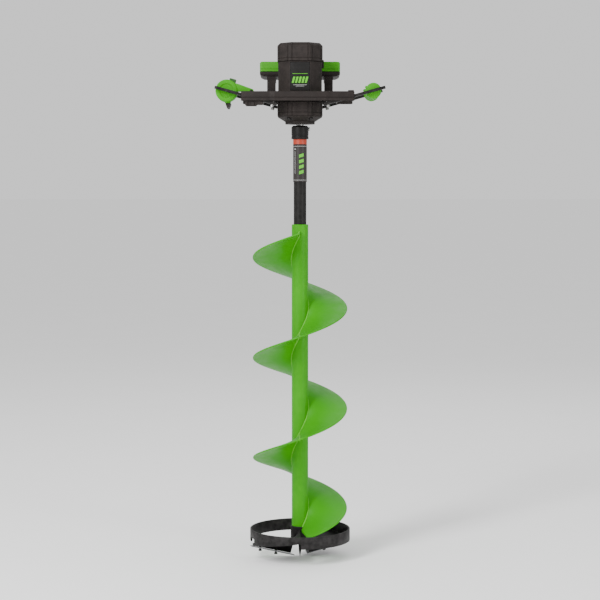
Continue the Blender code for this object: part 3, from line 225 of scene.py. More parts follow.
def brushed(name, bright, dark, roughness, along, fine):
    """Ground or turned metal: hair lines across one direction, with cloudy tarnish."""
    made, tree, shader, place = start_finish(name, metallic=1.0)
    lines = noise(tree, stretched(tree, place, along), fine, detail=6.0, roughness=0.7)
    clouds = noise(tree, place, 40.0, detail=4.0)
    tone = mix(tree, span(tree, lines, COMMON), dark, bright)
    tone = mix(tree, span(tree, clouds, (0.45, 0.75), high=0.4), tone, dark)
    gloss = span(tree, lines, COMMON, roughness - 0.06, roughness + 0.12)
    dress(tree, shader, tone, gloss, lines, 0.25, 0.00006)
    return made


def banded(name, base, line, spacing, axis, roughness, depth, metallic=0.0):
    """Fine bands across one axis: wound wire, tape ribs or wrapped film."""
    made, tree, shader, place = start_finish(name, metallic=metallic)
    wave = node(tree, "TexWave", {"Scale": 0.314 / spacing, "Distortion": 0.6, "Detail": 2.0,
                                  "Detail Scale": 2.0}, bands_direction=axis)
    tree.links.new(place, wave.inputs["Vector"])
    bands = wave.outputs["Fac"]
    tone = mix(tree, bands, line, base)
    clouds = noise(tree, place, 60.0, detail=4.0)
    tone = mix(tree, span(tree, clouds, (0.5, 0.8), high=0.5), tone, line)
    gloss = span(tree, noise(tree, place, 150.0), COMMON, roughness - 0.08, roughness + 0.08)
    dress(tree, shader, tone, gloss, bands, 0.4, depth)
    return made


GREEN_PAINT = surface("green_paint", (0.034, 0.272, 0.001), (0.027, 0.232, 0.001), (0.085, 0.380, 0.008),
                      roughness=0.46, grain=900.0, depth=0.00020, edge_highlight_and_rub=0.25, specular=0.14)
GREEN_PLASTIC = surface("green_plastic", (0.040, 0.275, 0.002), (0.032, 0.232, 0.002),
                        (0.10, 0.37, 0.02),
                        roughness=0.52, grain=2400.0, depth=0.00012, drift=20.0, edge_highlight_and_rub=0.25,
                        specular=0.18)
DARK_GREEN = surface("dark_green_plastic", (0.022, 0.085, 0.012), (0.016, 0.062, 0.009),
                     (0.06, 0.16, 0.04),
                     roughness=0.50, grain=2400.0, depth=0.00012, drift=20.0, edge_highlight_and_rub=0.2, specular=0.25)
BLACK_PLASTIC = surface("black_plastic", (0.0140, 0.0100, 0.0088), (0.0100, 0.0074, 0.0066),
                        (0.040, 0.032, 0.029),
                        roughness=0.60, grain=2600.0, depth=0.00010, drift=30.0, edge_highlight_and_rub=0.45,
                        specular=0.18)
BLACK_STEEL = surface("black_steel", (0.0062, 0.0056, 0.0052), (0.0044, 0.0040, 0.0038),
                      (0.036, 0.033, 0.031),
                      roughness=0.46, grain=1100.0, depth=0.00012, drift=30.0, edge_highlight_and_rub=0.5, specular=0.16)
CAST_BLACK = surface("cast_black_steel", (0.0098, 0.0088, 0.0088), (0.0046, 0.0042, 0.0042),
                     (0.050, 0.046, 0.046),
                     roughness=0.54, grain=420.0, depth=0.00035, drift=130.0, edge_highlight_and_rub=0.9, specular=0.15)
# welds in a lighter, brighter green than the flighting: a painted highlight where the beads catch the light
WELD_GREEN_HIGHLIT = surface("weld_green_paint", (0.085, 0.430, 0.006), (0.052, 0.310, 0.003),
                     (0.20, 0.55, 0.05),
                     roughness=0.40, grain=1400.0, depth=0.00030, drift=200.0, edge_highlight_and_rub=0.6, specular=0.30)
LABEL = surface("label", (0.0080, 0.0074, 0.0070), (0.0064, 0.0060, 0.0058), (0.020, 0.020, 0.020),
                roughness=0.36, grain=3000.0, depth=0.00004, drift=30.0, edge_highlight_and_rub=0.2, specular=0.25)
SLEEVE_FILM = surface("sleeve_film", (0.0200, 0.0158, 0.0150), (0.0150, 0.0120, 0.0114),
                      (0.045, 0.040, 0.038),
                      roughness=0.42, grain=3000.0, depth=0.00005, drift=60.0, edge_highlight_and_rub=0.3, specular=0.28)
MARK_GREEN = surface("mark_green", (0.085, 0.42, 0.012), (0.070, 0.37, 0.010), (0.18, 0.50, 0.06),
                     roughness=0.42, grain=3000.0, depth=0.00004, drift=60.0, edge_highlight_and_rub=0.0, specular=0.3)
MARK_PALE = surface("mark_pale", (0.40, 0.41, 0.40), (0.33, 0.34, 0.33), (0.46, 0.46, 0.46),
                    roughness=0.45, grain=3000.0, depth=0.00004, drift=60.0, edge_highlight_and_rub=0.0, specular=0.3)
BARE_STEEL = brushed("bare_steel", (0.38, 0.375, 0.365), (0.22, 0.215, 0.21), roughness=0.34,
                     along=(1.0, 1.0, 14.0), fine=160.0)
BLADE_STEEL = brushed("blade_steel", (0.24, 0.24, 0.25), (0.12, 0.12, 0.125), roughness=0.30,
                      along=(12.0, 2.0, 1.0), fine=120.0)
COPPER = banded("copper_winding", (0.62, 0.27, 0.12), (0.25, 0.09, 0.04), spacing=0.0012, axis="Z",
                roughness=0.35, depth=0.0003, metallic=1.0)
ORANGE_BAND = banded("orange_band", (0.36, 0.026, 0.003), (0.27, 0.018, 0.002), spacing=0.0016, axis="Z",
                     roughness=0.48, depth=0.00012)
BOARD_GREEN = banded("board_green", (0.02, 0.13, 0.05), (0.10, 0.22, 0.08), spacing=0.0022, axis="X",
                     roughness=0.45, depth=0.00008)
CELL_WRAP = banded("cell_wrap", (0.04, 0.14, 0.42), (0.03, 0.10, 0.30), spacing=0.004, axis="Z",
                   roughness=0.35, depth=0.00004)


# ================================================================ shape helpers
def piece(name, bm, finish, body, stands_for=(), sharp=32.0, bevel=0.0):
    """Turn a bmesh into a shown piece that rides a body and may stand for CAD nodes."""
    bmesh.ops.remove_doubles(bm, verts=bm.verts, dist=0.000005)
    bmesh.ops.recalc_face_normals(bm, faces=bm.faces)
    mesh = bpy.data.meshes.new(name)
    bm.to_mesh(mesh)
    bm.free()
    mesh.materials.append(finish)
    mesh.shade_smooth()
    made = bpy.data.objects.new(name, mesh)
    bpy.context.scene.collection.objects.link(made)
    if bevel:
        soften(made, bevel)
    else:
        mesh.set_sharp_from_angle(angle=math.radians(sharp))
    if stands_for:
        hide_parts(*stands_for)
    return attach(made, body)


def soften(made, width, segments=3):
    """Round a piece's edges with a bevel that keeps its flats flat."""
    rounding = made.modifiers.new("edges", "BEVEL")
    rounding.width = width
    rounding.segments = segments
    rounding.limit_method = "ANGLE"
    rounding.angle_limit = math.radians(32.0)
    rounding.harden_normals = True


def carve(made, tool):
    """Cut a tool's shape out of a piece and drop the tool."""
    change = made.modifiers.new("carve", "BOOLEAN")
    change.operation = "DIFFERENCE"
    change.solver = "EXACT"
    change.object = tool
    with bpy.context.temp_override(object=made, active_object=made, selected_objects=[made]):
        bpy.ops.object.modifier_move_to_index(modifier=change.name, index=0)
        bpy.ops.object.modifier_apply(modifier=change.name)
    bpy.data.objects.remove(tool, do_unlink=True)


def tool_object(bm):
    """A closed shape to cut with."""
    bmesh.ops.recalc_face_normals(bm, faces=bm.faces)
    mesh = bpy.data.meshes.new("tool")
    bm.to_mesh(mesh)
    bm.free()
    made = bpy.data.objects.new("tool", mesh)
    bpy.context.scene.collection.objects.link(made)
    return made


def loft(bm, loops, cap_first=True, cap_last=True):
    """Skin over loops of equal length, with flat ends."""
    rings = [[bm.verts.new(point) for point in loop] for loop in loops]
    count = len(rings[0])
    for lower, upper in zip(rings, rings[1:]):
        for side in range(count):
            after = (side + 1) % count
            bm.faces.new((lower[side], lower[after], upper[after], upper[side]))
    if cap_first:
        bm.faces.new(list(reversed(rings[0])))
    if cap_last:
        bm.faces.new(rings[-1])
    return bm


def lathe(bm, profile, steps=96, place=Matrix.Identity(4)):
    """Turn a closed profile of (radius, height) round an axis."""
    turns = [math.tau * step / steps for step in range(steps)]
    rings = [[bm.verts.new(place @ Vector((radius * math.cos(t), radius * math.sin(t), height)))
              for radius, height in profile] for t in turns]
    count = len(profile)
    for here, there in zip(rings, rings[1:] + rings[:1]):
        for index in range(count):
            after = (index + 1) % count
            if profile[index][0] + profile[after][0] < 1e-9:
                continue
            bm.faces.new((here[index], there[index], there[after], here[after]))
    bmesh.ops.remove_doubles(bm, verts=bm.verts, dist=0.000002)
    return bm


def box_tool(low, high):
    """A block to cut with, between two corners."""
    bm = bmesh.new()
    bmesh.ops.create_cube(bm, size=1.0)
    bmesh.ops.scale(bm, vec=Vector(high) - Vector(low), verts=bm.verts)
    bmesh.ops.translate(bm, vec=(Vector(low) + Vector(high)) / 2, verts=bm.verts)
    return tool_object(bm)


def rod_tool(radius, low, high, place=Matrix.Identity(4), steps=32):
    """A round bar to cut with."""
    section = [(0.0, low), (radius, low), (radius, high), (0.0, high)]
    return tool_object(lathe(bmesh.new(), section, steps, place))


def rounded(corners, radius, steps=4, skip=()):
    """A closed polygon with its corners turned into arcs; skipped corners stay sharp."""
    made = []
    count = len(corners)
    points = [Vector(corner) for corner in corners]
    for index in range(count):
        before, corner, after = (points[(index + step) % count] for step in (-1, 0, 1))
        towards_before = (before - corner).normalized()
        towards_after = (after - corner).normalized()
        opening = towards_before.angle(towards_after)
        if index in skip or opening > math.radians(176.0):
            made.append(tuple(corner))
            continue
        half = opening / 2
        reach = min(radius / math.tan(half), (before - corner).length * 0.49,
                    (after - corner).length * 0.49)
        centre = corner + (towards_before + towards_after).normalized() * (reach / math.cos(half))
        first = corner + towards_before * reach - centre
        last = corner + towards_after * reach - centre
        for step in range(steps + 1):
            spoke = first.lerp(last, step / steps).normalized() * first.length
            made.append(tuple(centre + spoke))
    return made


def front_point(angle, radius, height):
    """A point at an angle counted from the front."""
    turn = math.radians(angle - 90.0)
    return Vector((radius * math.cos(turn), radius * math.sin(turn), height))


def at_height(outline, height):
    """A flat outline lifted to a height."""
    return [(x, y, height) for x, y in outline]


def rim(low, high, edge):
    """(height, inset) levels of a wall with its lower and upper edges rounded."""
    arcs = [math.pi / 2 * step / 4 for step in range(5)]
    lower = [(low + edge * (1 - math.sin(a)), edge * (1 - math.cos(a))) for a in reversed(arcs)]
    upper = [(high - edge * (1 - math.sin(a)), edge * (1 - math.cos(a))) for a in arcs]
    return lower + upper


def slab(bm, outline_at, low, high, edge, place=Matrix.Identity(4)):
    """Solid between two heights whose outline is a function of its inset; rims are rounded."""
    loops = [[place @ Vector(point) for point in at_height(outline_at(inset), height)]
             for height, inset in rim(low, high, edge)]
    return loft(bm, loops)


def rectangle(low, high, corner):
    """Rounded rectangle as a function of its inset."""
    def outline(inset):
        x0, y0 = low[0] + inset, low[1] + inset
        x1, y1 = high[0] - inset, high[1] - inset
        return rounded([(x0, y0), (x1, y0), (x1, y1), (x0, y1)], max(corner - inset, 0.0002))
    return outline


# ================================================================ tube, flighting and shaft
def helix_height(angle):
    """Height of the flighting's middle at an angle; whole turns add up."""
    return FLIGHT_FRONT_Z + PITCH * angle / 360.0


def steepness(radius):
    """How much longer the helicoid's vertical thickness is than its real one."""
    return math.hypot(1.0, PITCH / (math.tau * radius))


def flight_section(number, start, end):
    """Pressed flight with a rolled outer rim."""
    half = FLIGHT_THICKNESS / 2
    root = TUBE_RADIUS - 0.0005
    radii = [root + (FLIGHT_RADIUS - half - TUBE_RADIUS) * step / 12 for step in range(13)]
    rim_arc = [math.pi * step / 6 - math.pi / 2 for step in range(1, 6)]
    section = [(radius, -half) for radius in radii]
    section += [(FLIGHT_RADIUS - half + half * math.cos(a), half * math.sin(a)) for a in rim_arc]
    section += [(radius, half) for radius in reversed(radii)]
    steps = round((end - start) / FLIGHT_STEP)
    angles = [start + (end - start) * step / steps for step in range(steps + 1)]
    loops = [[front_point(a, r, helix_height(a) + side * steepness(r)) for r, side in section]
             for a in angles]
    piece(f"flight_{number}", loft(bmesh.new(), loops), GREEN_PAINT, "drill", [f"flight_section_{number}"],
          sharp=40.0)


def ripple(distance):
    """Uneven bead of hand welding: overlapping puddles with a slow wander."""
    puddle, wander = 0.0026, 190.0
    return 1.0 + 0.14 * math.sin(math.tau * distance / puddle) + 0.12 * math.sin(distance * wander)


def bead(bm, path, width):
    """Weld bead swept along points, with a rippled width."""
    turns = [math.tau * side / 8 for side in range(8)]
    loops = []
    travelled = 0.0
    for index, point in enumerate(path):
        ahead = path[min(index + 1, len(path) - 1)]
        behind = path[max(index - 1, 0)]
        travelled += (point - behind).length
        forward = (ahead - behind).normalized()
        across = forward.cross(Vector((0, 0, 1))).normalized()
        up = across.cross(forward)
        radius = width * ripple(travelled)
        loops.append([point + across * radius * math.cos(a) + up * radius * math.sin(a) for a in turns])
    return loft(bm, loops)


def flight_welds():
    """Fillet beads where the flighting meets the tube, above and below."""
    for name, side in (("flight_weld_upper", 1), ("flight_weld_lower", -1)):
        lift = side * (FLIGHT_THICKNESS / 2 * steepness(TUBE_RADIUS) + 0.0007)
        count = round((FLIGHT_END - FLIGHT_STARTS[0]) / WELD_STEP)
        angles = [FLIGHT_STARTS[0] + 1.0 + step * WELD_STEP for step in range(count - 1)]
        path = [front_point(a, TUBE_RADIUS + 0.0004, helix_height(a) + lift) for a in angles]
        piece(name, bead(bmesh.new(), path, FLIGHT_BEAD), WELD_GREEN_HIGHLIT, "drill", sharp=60.0)


def joint_welds():
    """Radial beads across the joints between flight sections."""
    inner = TUBE_RADIUS + 0.001
    outer = FLIGHT_RADIUS - 0.0025
    radii = [inner + (outer - TUBE_RADIUS) * step / 70 for step in range(71)]
    for number, angle in enumerate(FLIGHT_STARTS[1:], start=1):
        bm = bmesh.new()
        middle = angle - FLIGHT_JOINT / 2
        for side in (1, -1):
            lift = side * (FLIGHT_THICKNESS / 2 - 0.0002)
            path = [front_point(middle, r, helix_height(middle) + lift * steepness(r)) for r in radii]
            bead(bm, path, JOINT_BEAD)
        piece(f"joint_weld_{number}", bm, WELD_GREEN_HIGHLIT, "drill", sharp=60.0)


def ring_profile(node_name, outer, wall, edge):
    """Closed section of a tube with softened outer lips."""
    low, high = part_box(node_name)[0].z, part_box(node_name)[1].z
    return [(outer - edge, low), (outer, low + edge), (outer, high - edge), (outer - edge, high),
            (outer - wall, high), (outer - wall, low)]


def tubes():
    """Outer tube, shaft, printed sleeve and orange band."""
    sleeve_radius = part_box("label_sleeve")[1].x
    shaft_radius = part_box("extension_shaft")[1].x
    rows = (("tube", "auger_tube", TUBE_RADIUS, 0.0034, 0.0008, GREEN_PAINT, None),
            ("shaft", "extension_shaft", shaft_radius, 0.0032, 0.0008, BLACK_STEEL, None),
            ("sleeve", "label_sleeve", sleeve_radius, 0.0009, 0.0002, SLEEVE_FILM, "label"),
            ("band", "orange_band", sleeve_radius, 0.0009, 0.0002, ORANGE_BAND, None))
    for name, cad, radius, wall, edge, finish, slot in rows:
        bm = lathe(bmesh.new(), ring_profile(cad, radius, wall, edge))
        piece(name, bm, finish, "drill", [cad])


def collar():
    """Coupler collar with a turned groove, a stepped bore and a cross hole for its pin."""
    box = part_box("coupler_collar")
    low, high, outer = box[0].z, box[1].z, box[1].x
    depth, chamfer = 0.0006, 0.003
    shaft_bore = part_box("extension_shaft")[1].x + 0.0003
    carrier_bore = 0.0079
    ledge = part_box("output_carrier")[0].z + 0.0105
    section = rounded([(shaft_bore, low), (outer, low), (outer, low + 0.005), (outer - depth, low + 0.0056),
                       (outer - depth, low + 0.0072), (outer, low + 0.0078), (outer, high - chamfer),
                       (outer - chamfer, high), (carrier_bore, high), (carrier_bore, ledge),
                       (shaft_bore, ledge)], 0.0005, 3)
    made = piece("collar", lathe(bmesh.new(), section), BLACK_STEEL, "drill", ["coupler_collar"])
    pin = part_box("coupler_pin")
    across = Matrix.Rotation(math.pi / 2, 4, "Y")
    place = Matrix.Translation((0, 0, (pin[0].z + pin[1].z) / 2)) @ across
    carve(made, rod_tool(0.0026, -0.05, 0.05, place, 24))


# ================================================================ cutting head
def ramp_height(radius, share):
    """Lower face of a ramp from the blade line (0) to its end (1)."""
    across = (radius - BLADE_SPAN[0]) / (BLADE_SPAN[1] - BLADE_SPAN[0])
    start = BLADE_LINE_Z[0] + (BLADE_LINE_Z[1] - BLADE_LINE_Z[0]) * across
    end = RAMP_END_Z[0] + (RAMP_END_Z[1] - RAMP_END_Z[0]) * (radius - RAMP_SPAN[0]) / (
        RAMP_SPAN[1] - RAMP_SPAN[0])
    return start + (end - start) * share


def ring_lower_edge(angle):
    """Height of the ring's lower edge: notch over a blade, slope along its ramp, then level."""
    behind = (angle - BLADE_AZIMUTHS[0]) % 180.0
    if behind <= NOTCH_SWEEP:
        return NOTCH_Z
    if behind <= RAMP_SWEEP - RING_LEVEL_SWEEP:
        return BLADE_LINE_Z[1] + (RAMP_END_Z[1] - BLADE_LINE_Z[1]) * behind / RAMP_SWEEP
    if behind <= RAMP_SWEEP:
        return RAMP_END_Z[1]
    return RING_LOW_Z


def cutter_ring():
    """Rolled hoop with softened rims, notched over each blade."""
    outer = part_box("cutter_ring")[1].x
    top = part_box("cutter_ring")[1].z
    wall, edge = 0.0035, 0.0008
    loops = []
    for step in range(RING_STEPS):
        angle = step * 360.0 / RING_STEPS
        low = ring_lower_edge(angle)
        section = [(outer - edge, low), (outer, low + edge), (outer, top - edge), (outer - edge, top),
                   (outer - wall + edge, top), (outer - wall, top - edge), (outer - wall, low + edge),
                   (outer - wall + edge, low)]
        loops.append([front_point(angle, radius, height) for radius, height in section])
    bm = loft(bmesh.new(), loops + loops[:1], cap_first=False, cap_last=False)
    piece("ring", bm, CAST_BLACK, "drill", ["cutter_ring"], sharp=50.0)


def ramps():
    """Twisted ramps behind the blades, welded to the ring and the hub."""
    inner, outer = HUB_RADIUS - 0.0002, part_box("cutter_ring")[1].x - 0.0033
    radii = [inner + (outer - inner) * step / 16 for step in range(17)]
    ramp_shares = [step / 40 for step in range(41)]
    weld_shares = [0.04 + 0.92 * step / 90 for step in range(91)]
    for number, azimuth in enumerate(BLADE_AZIMUTHS, start=1):
        loops = []
        for share in ramp_shares:
            angle = azimuth + RAMP_SWEEP * share
            lower = [front_point(angle, r, ramp_height(r, share) + 0.0001) for r in radii]
            upper = [front_point(angle, r, ramp_height(r, share) + RAMP_THICKNESS) for r in reversed(radii)]
            loops.append(lower + upper)
        piece(f"ramp_{number}", loft(bmesh.new(), loops), CAST_BLACK, "drill", [f"blade_holder_{number}"],
              bevel=0.0007)
        weld = bmesh.new()
        for radius in (inner + 0.0006, outer - 0.0004):
            path = [front_point(azimuth + RAMP_SWEEP * s, radius, ramp_height(radius, s) + RAMP_THICKNESS)
                    for s in weld_shares]
            bead(weld, path, RAMP_BEAD)
        piece(f"ramp_weld_{number}", weld, CAST_BLACK, "drill", sharp=60.0)


def hub():
    """Cast hub under the tube, with a low step up to it."""
    low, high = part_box("cutter_hub")[0].z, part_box("cutter_hub")[1].z
    step = high + 0.0015
    section = rounded([(0.0, low), (HUB_RADIUS, low), (HUB_RADIUS, high), (TUBE_RADIUS + 0.001, step),
                       (TUBE_RADIUS - 0.002, step), (0.0, high + 0.0005)], 0.0012, 3, skip=(0, 5))
    piece("hub", lathe(bmesh.new(), section), CAST_BLACK, "drill", ["cutter_hub"])


def centre_point():
    """Fluted point on a plain shank."""
    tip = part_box("centre_point")[0].z
    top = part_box("cutter_hub")[0].z + 0.001
    shank = 0.004
    section = [(0.0, tip), (0.0006, 0.0012), (0.0024, 0.011), (0.0028, 0.016), (shank, 0.030),
               (shank, top), (0.0, top)]
    bm = lathe(bmesh.new(), section, 48)
    depth, twist = 0.22, 420.0
    for vert in bm.verts:
        wave = math.sin(2 * math.atan2(vert.co.y, vert.co.x) + vert.co.z * twist)
        flute = 1.0 - depth * max(0.0, wave)
        if 0.001 < vert.co.z < 0.031:
            vert.co.x *= flute
            vert.co.y *= flute
    piece("point", bm, BLACK_STEEL, "drill", ["centre_point"], sharp=50.0)


# ================================================================ powerhead housings
def octagon(half, corner, groove=0.0):
    """Octagon with rounded corners; grooves of a given depth may run down the facets by the corners."""
    facet = half * FACET_SHARE
    corners = [(half, -facet), (half, facet), (facet, half), (-facet, half), (-half, facet),
               (-half, -facet), (-facet, -half), (facet, -half)]
    if not groove:
        return rounded(corners, corner)
    walk, sharp = [], []
    for here, there in zip(corners, corners[1:] + corners[:1]):
        here, there = Vector(here), Vector(there)
        along = (there - here).normalized()
        inward = Vector((-along.y, along.x))
        walk.append(tuple(here))
        for start, step in ((here, along), (there, -along)):
            stops = [start + step * reach + inward * depth
                     for reach, depth in ((0.0045, 0.0), (0.0049, groove), (0.0056, groove), (0.0060, 0.0))]
            stops = stops if start == here else list(reversed(stops))
            sharp += range(len(walk), len(walk) + 4)
            walk += [tuple(stop) for stop in stops]
    return rounded(walk, corner, skip=sharp)


def octagon_shell(name, levels, corner, stands_for, groove=0.0):
    """Octagonal housing through levels of (height, half width)."""
    loops = [at_height(octagon(half, corner, groove), height) for height, half in levels]
    return piece(name, loft(bmesh.new(), loops), BLACK_PLASTIC, "powerhead", [stands_for], sharp=28.0)


def gear_foot():
    """Tapered foot of the gearcase, with a pocket for each of its bolts."""
    low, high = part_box("gearcase")[0].z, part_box("gearcase")[1].z
    half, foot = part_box("gearcase")[1].x, 0.0295
    made = octagon_shell("gear_foot", ((low, foot - 0.0008), (low + 0.0008, foot), (low + 0.0052, foot),
                                       (low + 0.0056, foot + 0.0012), (high - 0.001, half - 0.001),
                                       (high, half - 0.0012)), 0.003, "gearcase")
    for side in ("left", "right"):
        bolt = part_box(f"gearcase_bolt_{side}")
        middle = (bolt[0] + bolt[1]) / 2
        place = Matrix.Translation((middle.x, middle.y, 0.0))
        carve(made, rod_tool(0.0052, low - 0.01, high - 0.0035, place))


def gear_housing():
    """Housing between the foot and the motor, with a seam near its lower end."""
    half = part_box("gearcase")[1].x
    low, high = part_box("lower_housing")[0].z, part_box("lower_housing")[1].z
    seam_low, seam_high = low + 0.006, low + 0.0075
    levels = ((low, half - 0.0012), (low + 0.0012, half), (seam_low, half),
              (seam_low + 0.0003, half - SEAM_DEPTH), (seam_high, half - SEAM_DEPTH),
              (seam_high + 0.0003, half), (high - 0.0006, half), (high, half - 0.0006))
    octagon_shell("gear_housing", levels, 0.0025, "lower_housing", groove=0.0006)


def motor_shell():
    """Motor housing with the recess that takes the badge plate."""
    low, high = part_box("motor_housing")
    half, edge = high.x, 0.0008
    made = octagon_shell("motor_shell", ((low.z, half), (high.z - edge, half), (high.z, half - edge)), 0.003,
                         "motor_housing")
    low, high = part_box("label_panel")
    carve(made, box_tool((low.x - PANEL_GAP, -half - 0.002, low.z - PANEL_GAP),
                         (high.x + PANEL_GAP, -half + 0.0016, high.z + PANEL_GAP)))


def cap():
    """Top cap with a seam, a chamfered shoulder and a shallow round dish."""
    half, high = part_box("top_cap")[1].x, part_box("top_cap")[1].z
    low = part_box("motor_housing")[1].z + 0.0003
    shoulder, seam = high - 0.0055, half - 0.0005
    levels = ((low, half - 0.0006), (low + 0.0006, half), (low + 0.0052, half), (low + 0.0055, seam),
              (low + 0.0063, seam), (low + 0.0066, half), (shoulder - 0.0008, half),
              (shoulder, half - 0.0004), (high - 0.0006, half - 0.0051), (high, half - 0.0058))
    made = octagon_shell("cap", levels, 0.003, "top_cap", groove=0.0007)
    carve(made, rod_tool(0.0245, high - 0.0006, high + 0.002))


def label_panel():
    """Recessed badge plate with a generic mark: slanted bars under one rule and over two."""
    low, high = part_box("label_panel")
    plate = slab(bmesh.new(), rectangle((low.x, low.z), (high.x, high.z), 0.002), -high.y, -low.y, 0.0003,
                 UPRIGHT)
    piece("badge", plate, LABEL, "powerhead", ["label_panel"])
    face = -low.y
    bar_count, bar_first, bar_spacing = 5, -0.0165, 0.0064
    bar_width, bar_slant, bar_low, bar_high = 0.0042, 0.0032, 0.9555, 0.9680
    marks = bmesh.new()
    for index in range(bar_count):
        left = bar_first + index * bar_spacing
        bar = [(left, bar_low), (left + bar_width, bar_low), (left + 0.0074, bar_high),
               (left + bar_slant, bar_high)]
        outline = rounded(bar, 0.0005, 2)
        slab(marks, lambda inset, outline=outline: outline, face, face + MARK_RAISE, MARK_EDGE, UPRIGHT)
    green_rule = rectangle((-0.0150, 0.9735), (0.0150, 0.9743), 0.0003)
    slab(marks, green_rule, face, face + MARK_RAISE, MARK_EDGE, UPRIGHT)
    piece("badge_bars", marks, MARK_GREEN, "powerhead")
    rules = bmesh.new()
    for half, height in ((0.0135, 0.9515), (0.0085, 0.9490)):
        pale_rule = rectangle((-half, height), (half, height + 0.0007), 0.0003)
        slab(rules, pale_rule, face, face + MARK_RAISE, MARK_EDGE, UPRIGHT)
    piece("badge_rules", rules, MARK_PALE, "powerhead")


def wrapped(bm, corners, azimuth, radius):
    """Thin printed shape laid round a vertical tube; corners are (across, height)."""
    steps = 40
    a, b, c, d = (Vector(corner) for corner in corners)
    rows = []
    for step in range(steps + 1):
        for start, end in ((a, b), (d, c)):
            spot = start.lerp(end, step / steps)
            rows.append(bm.verts.new(front_point(azimuth + math.degrees(spot.x / radius), radius, spot.y)))
    for first in range(0, 2 * steps, 2):
        bm.faces.new((rows[first], rows[first + 2], rows[first + 3], rows[first + 1]))


def wrapped_bar(bm, low, high, azimuth, radius):
    """Upright printed rectangle on a tube."""
    wrapped(bm, [low, (high[0], low[1]), high, (low[0], high[1])], azimuth, radius)


def sleeve_marks():
    """Generic marks on the shaft's sleeve: slanted green bars, pale rules and a small pale triangle."""
    low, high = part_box("label_sleeve")
    radius = high.x + MARK_RAISE
    bar_half, bar_rise, bar_height = 0.0048, 0.0030, 0.0065
    bars = bmesh.new()
    for index in range(4):
        foot = low.z + 0.0150 + index * 0.0110
        wrapped(bars, [(-bar_half, foot), (bar_half, foot + bar_rise), (bar_half, foot + 0.0095),
                       (-bar_half, foot + bar_height)], SLEEVE_BAR_AZIMUTH, radius)
    piece("sleeve_bars", bars, MARK_GREEN, "drill")
    rules = bmesh.new()
    top, half = high.z - 0.0105, 0.0022
    wrapped(rules, [(-half, top), (0.0, top), (half, top), (0.0, top + 0.0034)], SLEEVE_RULE_AZIMUTH, radius)
    for across in (-0.0008, 0.0008):
        wrapped_bar(rules, (across - 0.0002, low.z + 0.0160), (across + 0.0002, top - 0.0030),
                    SLEEVE_RULE_AZIMUTH, radius)
    for height in (low.z + 0.0035, high.z - 0.0042):
        wrapped_bar(rules, (-0.020, height), (0.020, height + 0.0006), -8.0, radius)
    piece("sleeve_rules", rules, MARK_PALE, "drill")


# ================================================================ handle
def handle_matrix(side):
    """A handle's own frame: origin on the grip's axis, X along the tilted plate."""
    turn = Euler((0.0, -side * HANDLE_TILT, 0.0)).to_matrix().to_4x4()
    return Matrix.Translation((side * GRIP_X, 0.0, GRIP_Z)) @ turn


def frame_outline(inset):
    """H-shaped plan of the handle frame with a bulge in front, moved inwards by an inset."""
    low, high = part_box("handle_frame")
    front = -low.y - inset
    outer, inner = high.y - inset, 0.046 + inset
    bulge, block, run = 0.050 - inset * 0.5, 0.075 - inset, 0.010
    right, left = high.x - inset, -low.x - inset
    corners = [(-block, -inner), (-left, -inner), (-left, -outer), (-bulge - run, -outer),
               (-bulge, -front), (bulge, -front), (bulge + run, -outer), (right, -outer),
               (right, -inner), (block, -inner), (block, inner), (right, inner), (right, outer),
               (-left, outer), (-left, inner), (-block, inner)]
    return rounded(corners, 0.003, 4)


def handle_frame():
    """Ribbed shell with a hollow underside, screw bosses and a stop at its right end."""
    low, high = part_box("handle_frame")
    bottom = low.z + 0.0034
    levels = [(FRAME_TOP - FRAME_WALL, FRAME_WALL), (bottom + 0.0006, FRAME_WALL),
              (bottom, FRAME_WALL - 0.0006), (bottom, 0.0008), (bottom + 0.0006, 0.0001),
              (bottom + 0.0052, 0.0), (bottom + 0.0056, 0.0007), (bottom + 0.0068, 0.0007),
              (bottom + 0.0072, 0.0), (FRAME_TOP - 0.0018, 0.0), (FRAME_TOP - 0.0007, 0.0004),
              (FRAME_TOP - 0.0002, 0.0011), (FRAME_TOP, 0.0020)]
    bm = loft(bmesh.new(), [at_height(frame_outline(inset), height) for height, inset in levels])
    boss = rounded([(0.0, 0.004), (0.006, 0.004), (0.006, 0.0205), (0.0, 0.0205)], 0.0012, 3, skip=(0, 3))
    for side in (-1, 1):
        for y in (-PLATE_ARM_Y, PLATE_ARM_Y):
            lathe(bm, boss, 40, handle_matrix(side) @ Matrix.Translation((-side * BOLT_REACH, y, 0.0)))
    for y in (-PLATE_ARM_Y, PLATE_ARM_Y):
        stop = rectangle((high.x - 0.0125, y - 0.008), (high.x - 0.001, y + 0.008), 0.0015)
        slab(bm, stop, FRAME_TOP - 0.001, FRAME_TOP + 0.0022, 0.0006)
    piece("handle_shell", bm, BLACK_PLASTIC, "powerhead", ["handle_frame"], sharp=35.0)
    ribs = bmesh.new()
    for index in (-4, -3, -2, -1, 1, 2, 3, 4):
        x = index * 0.0105
        rib = rectangle((x - 0.0006, low.y + 0.0035), (x + 0.0006, -0.0445), 0.0003)
        slab(ribs, rib, bottom + 0.001, FRAME_TOP - 0.002, 0.0002)
    piece("handle_ribs", ribs, BLACK_PLASTIC, "powerhead")


def lying(side):
    """Frame of a grip: local Z runs along +Y through the grip's middle."""
    return Matrix.Translation((side * GRIP_X, 0.0, GRIP_Z)) @ Matrix.Rotation(-math.pi / 2, 4, "X")


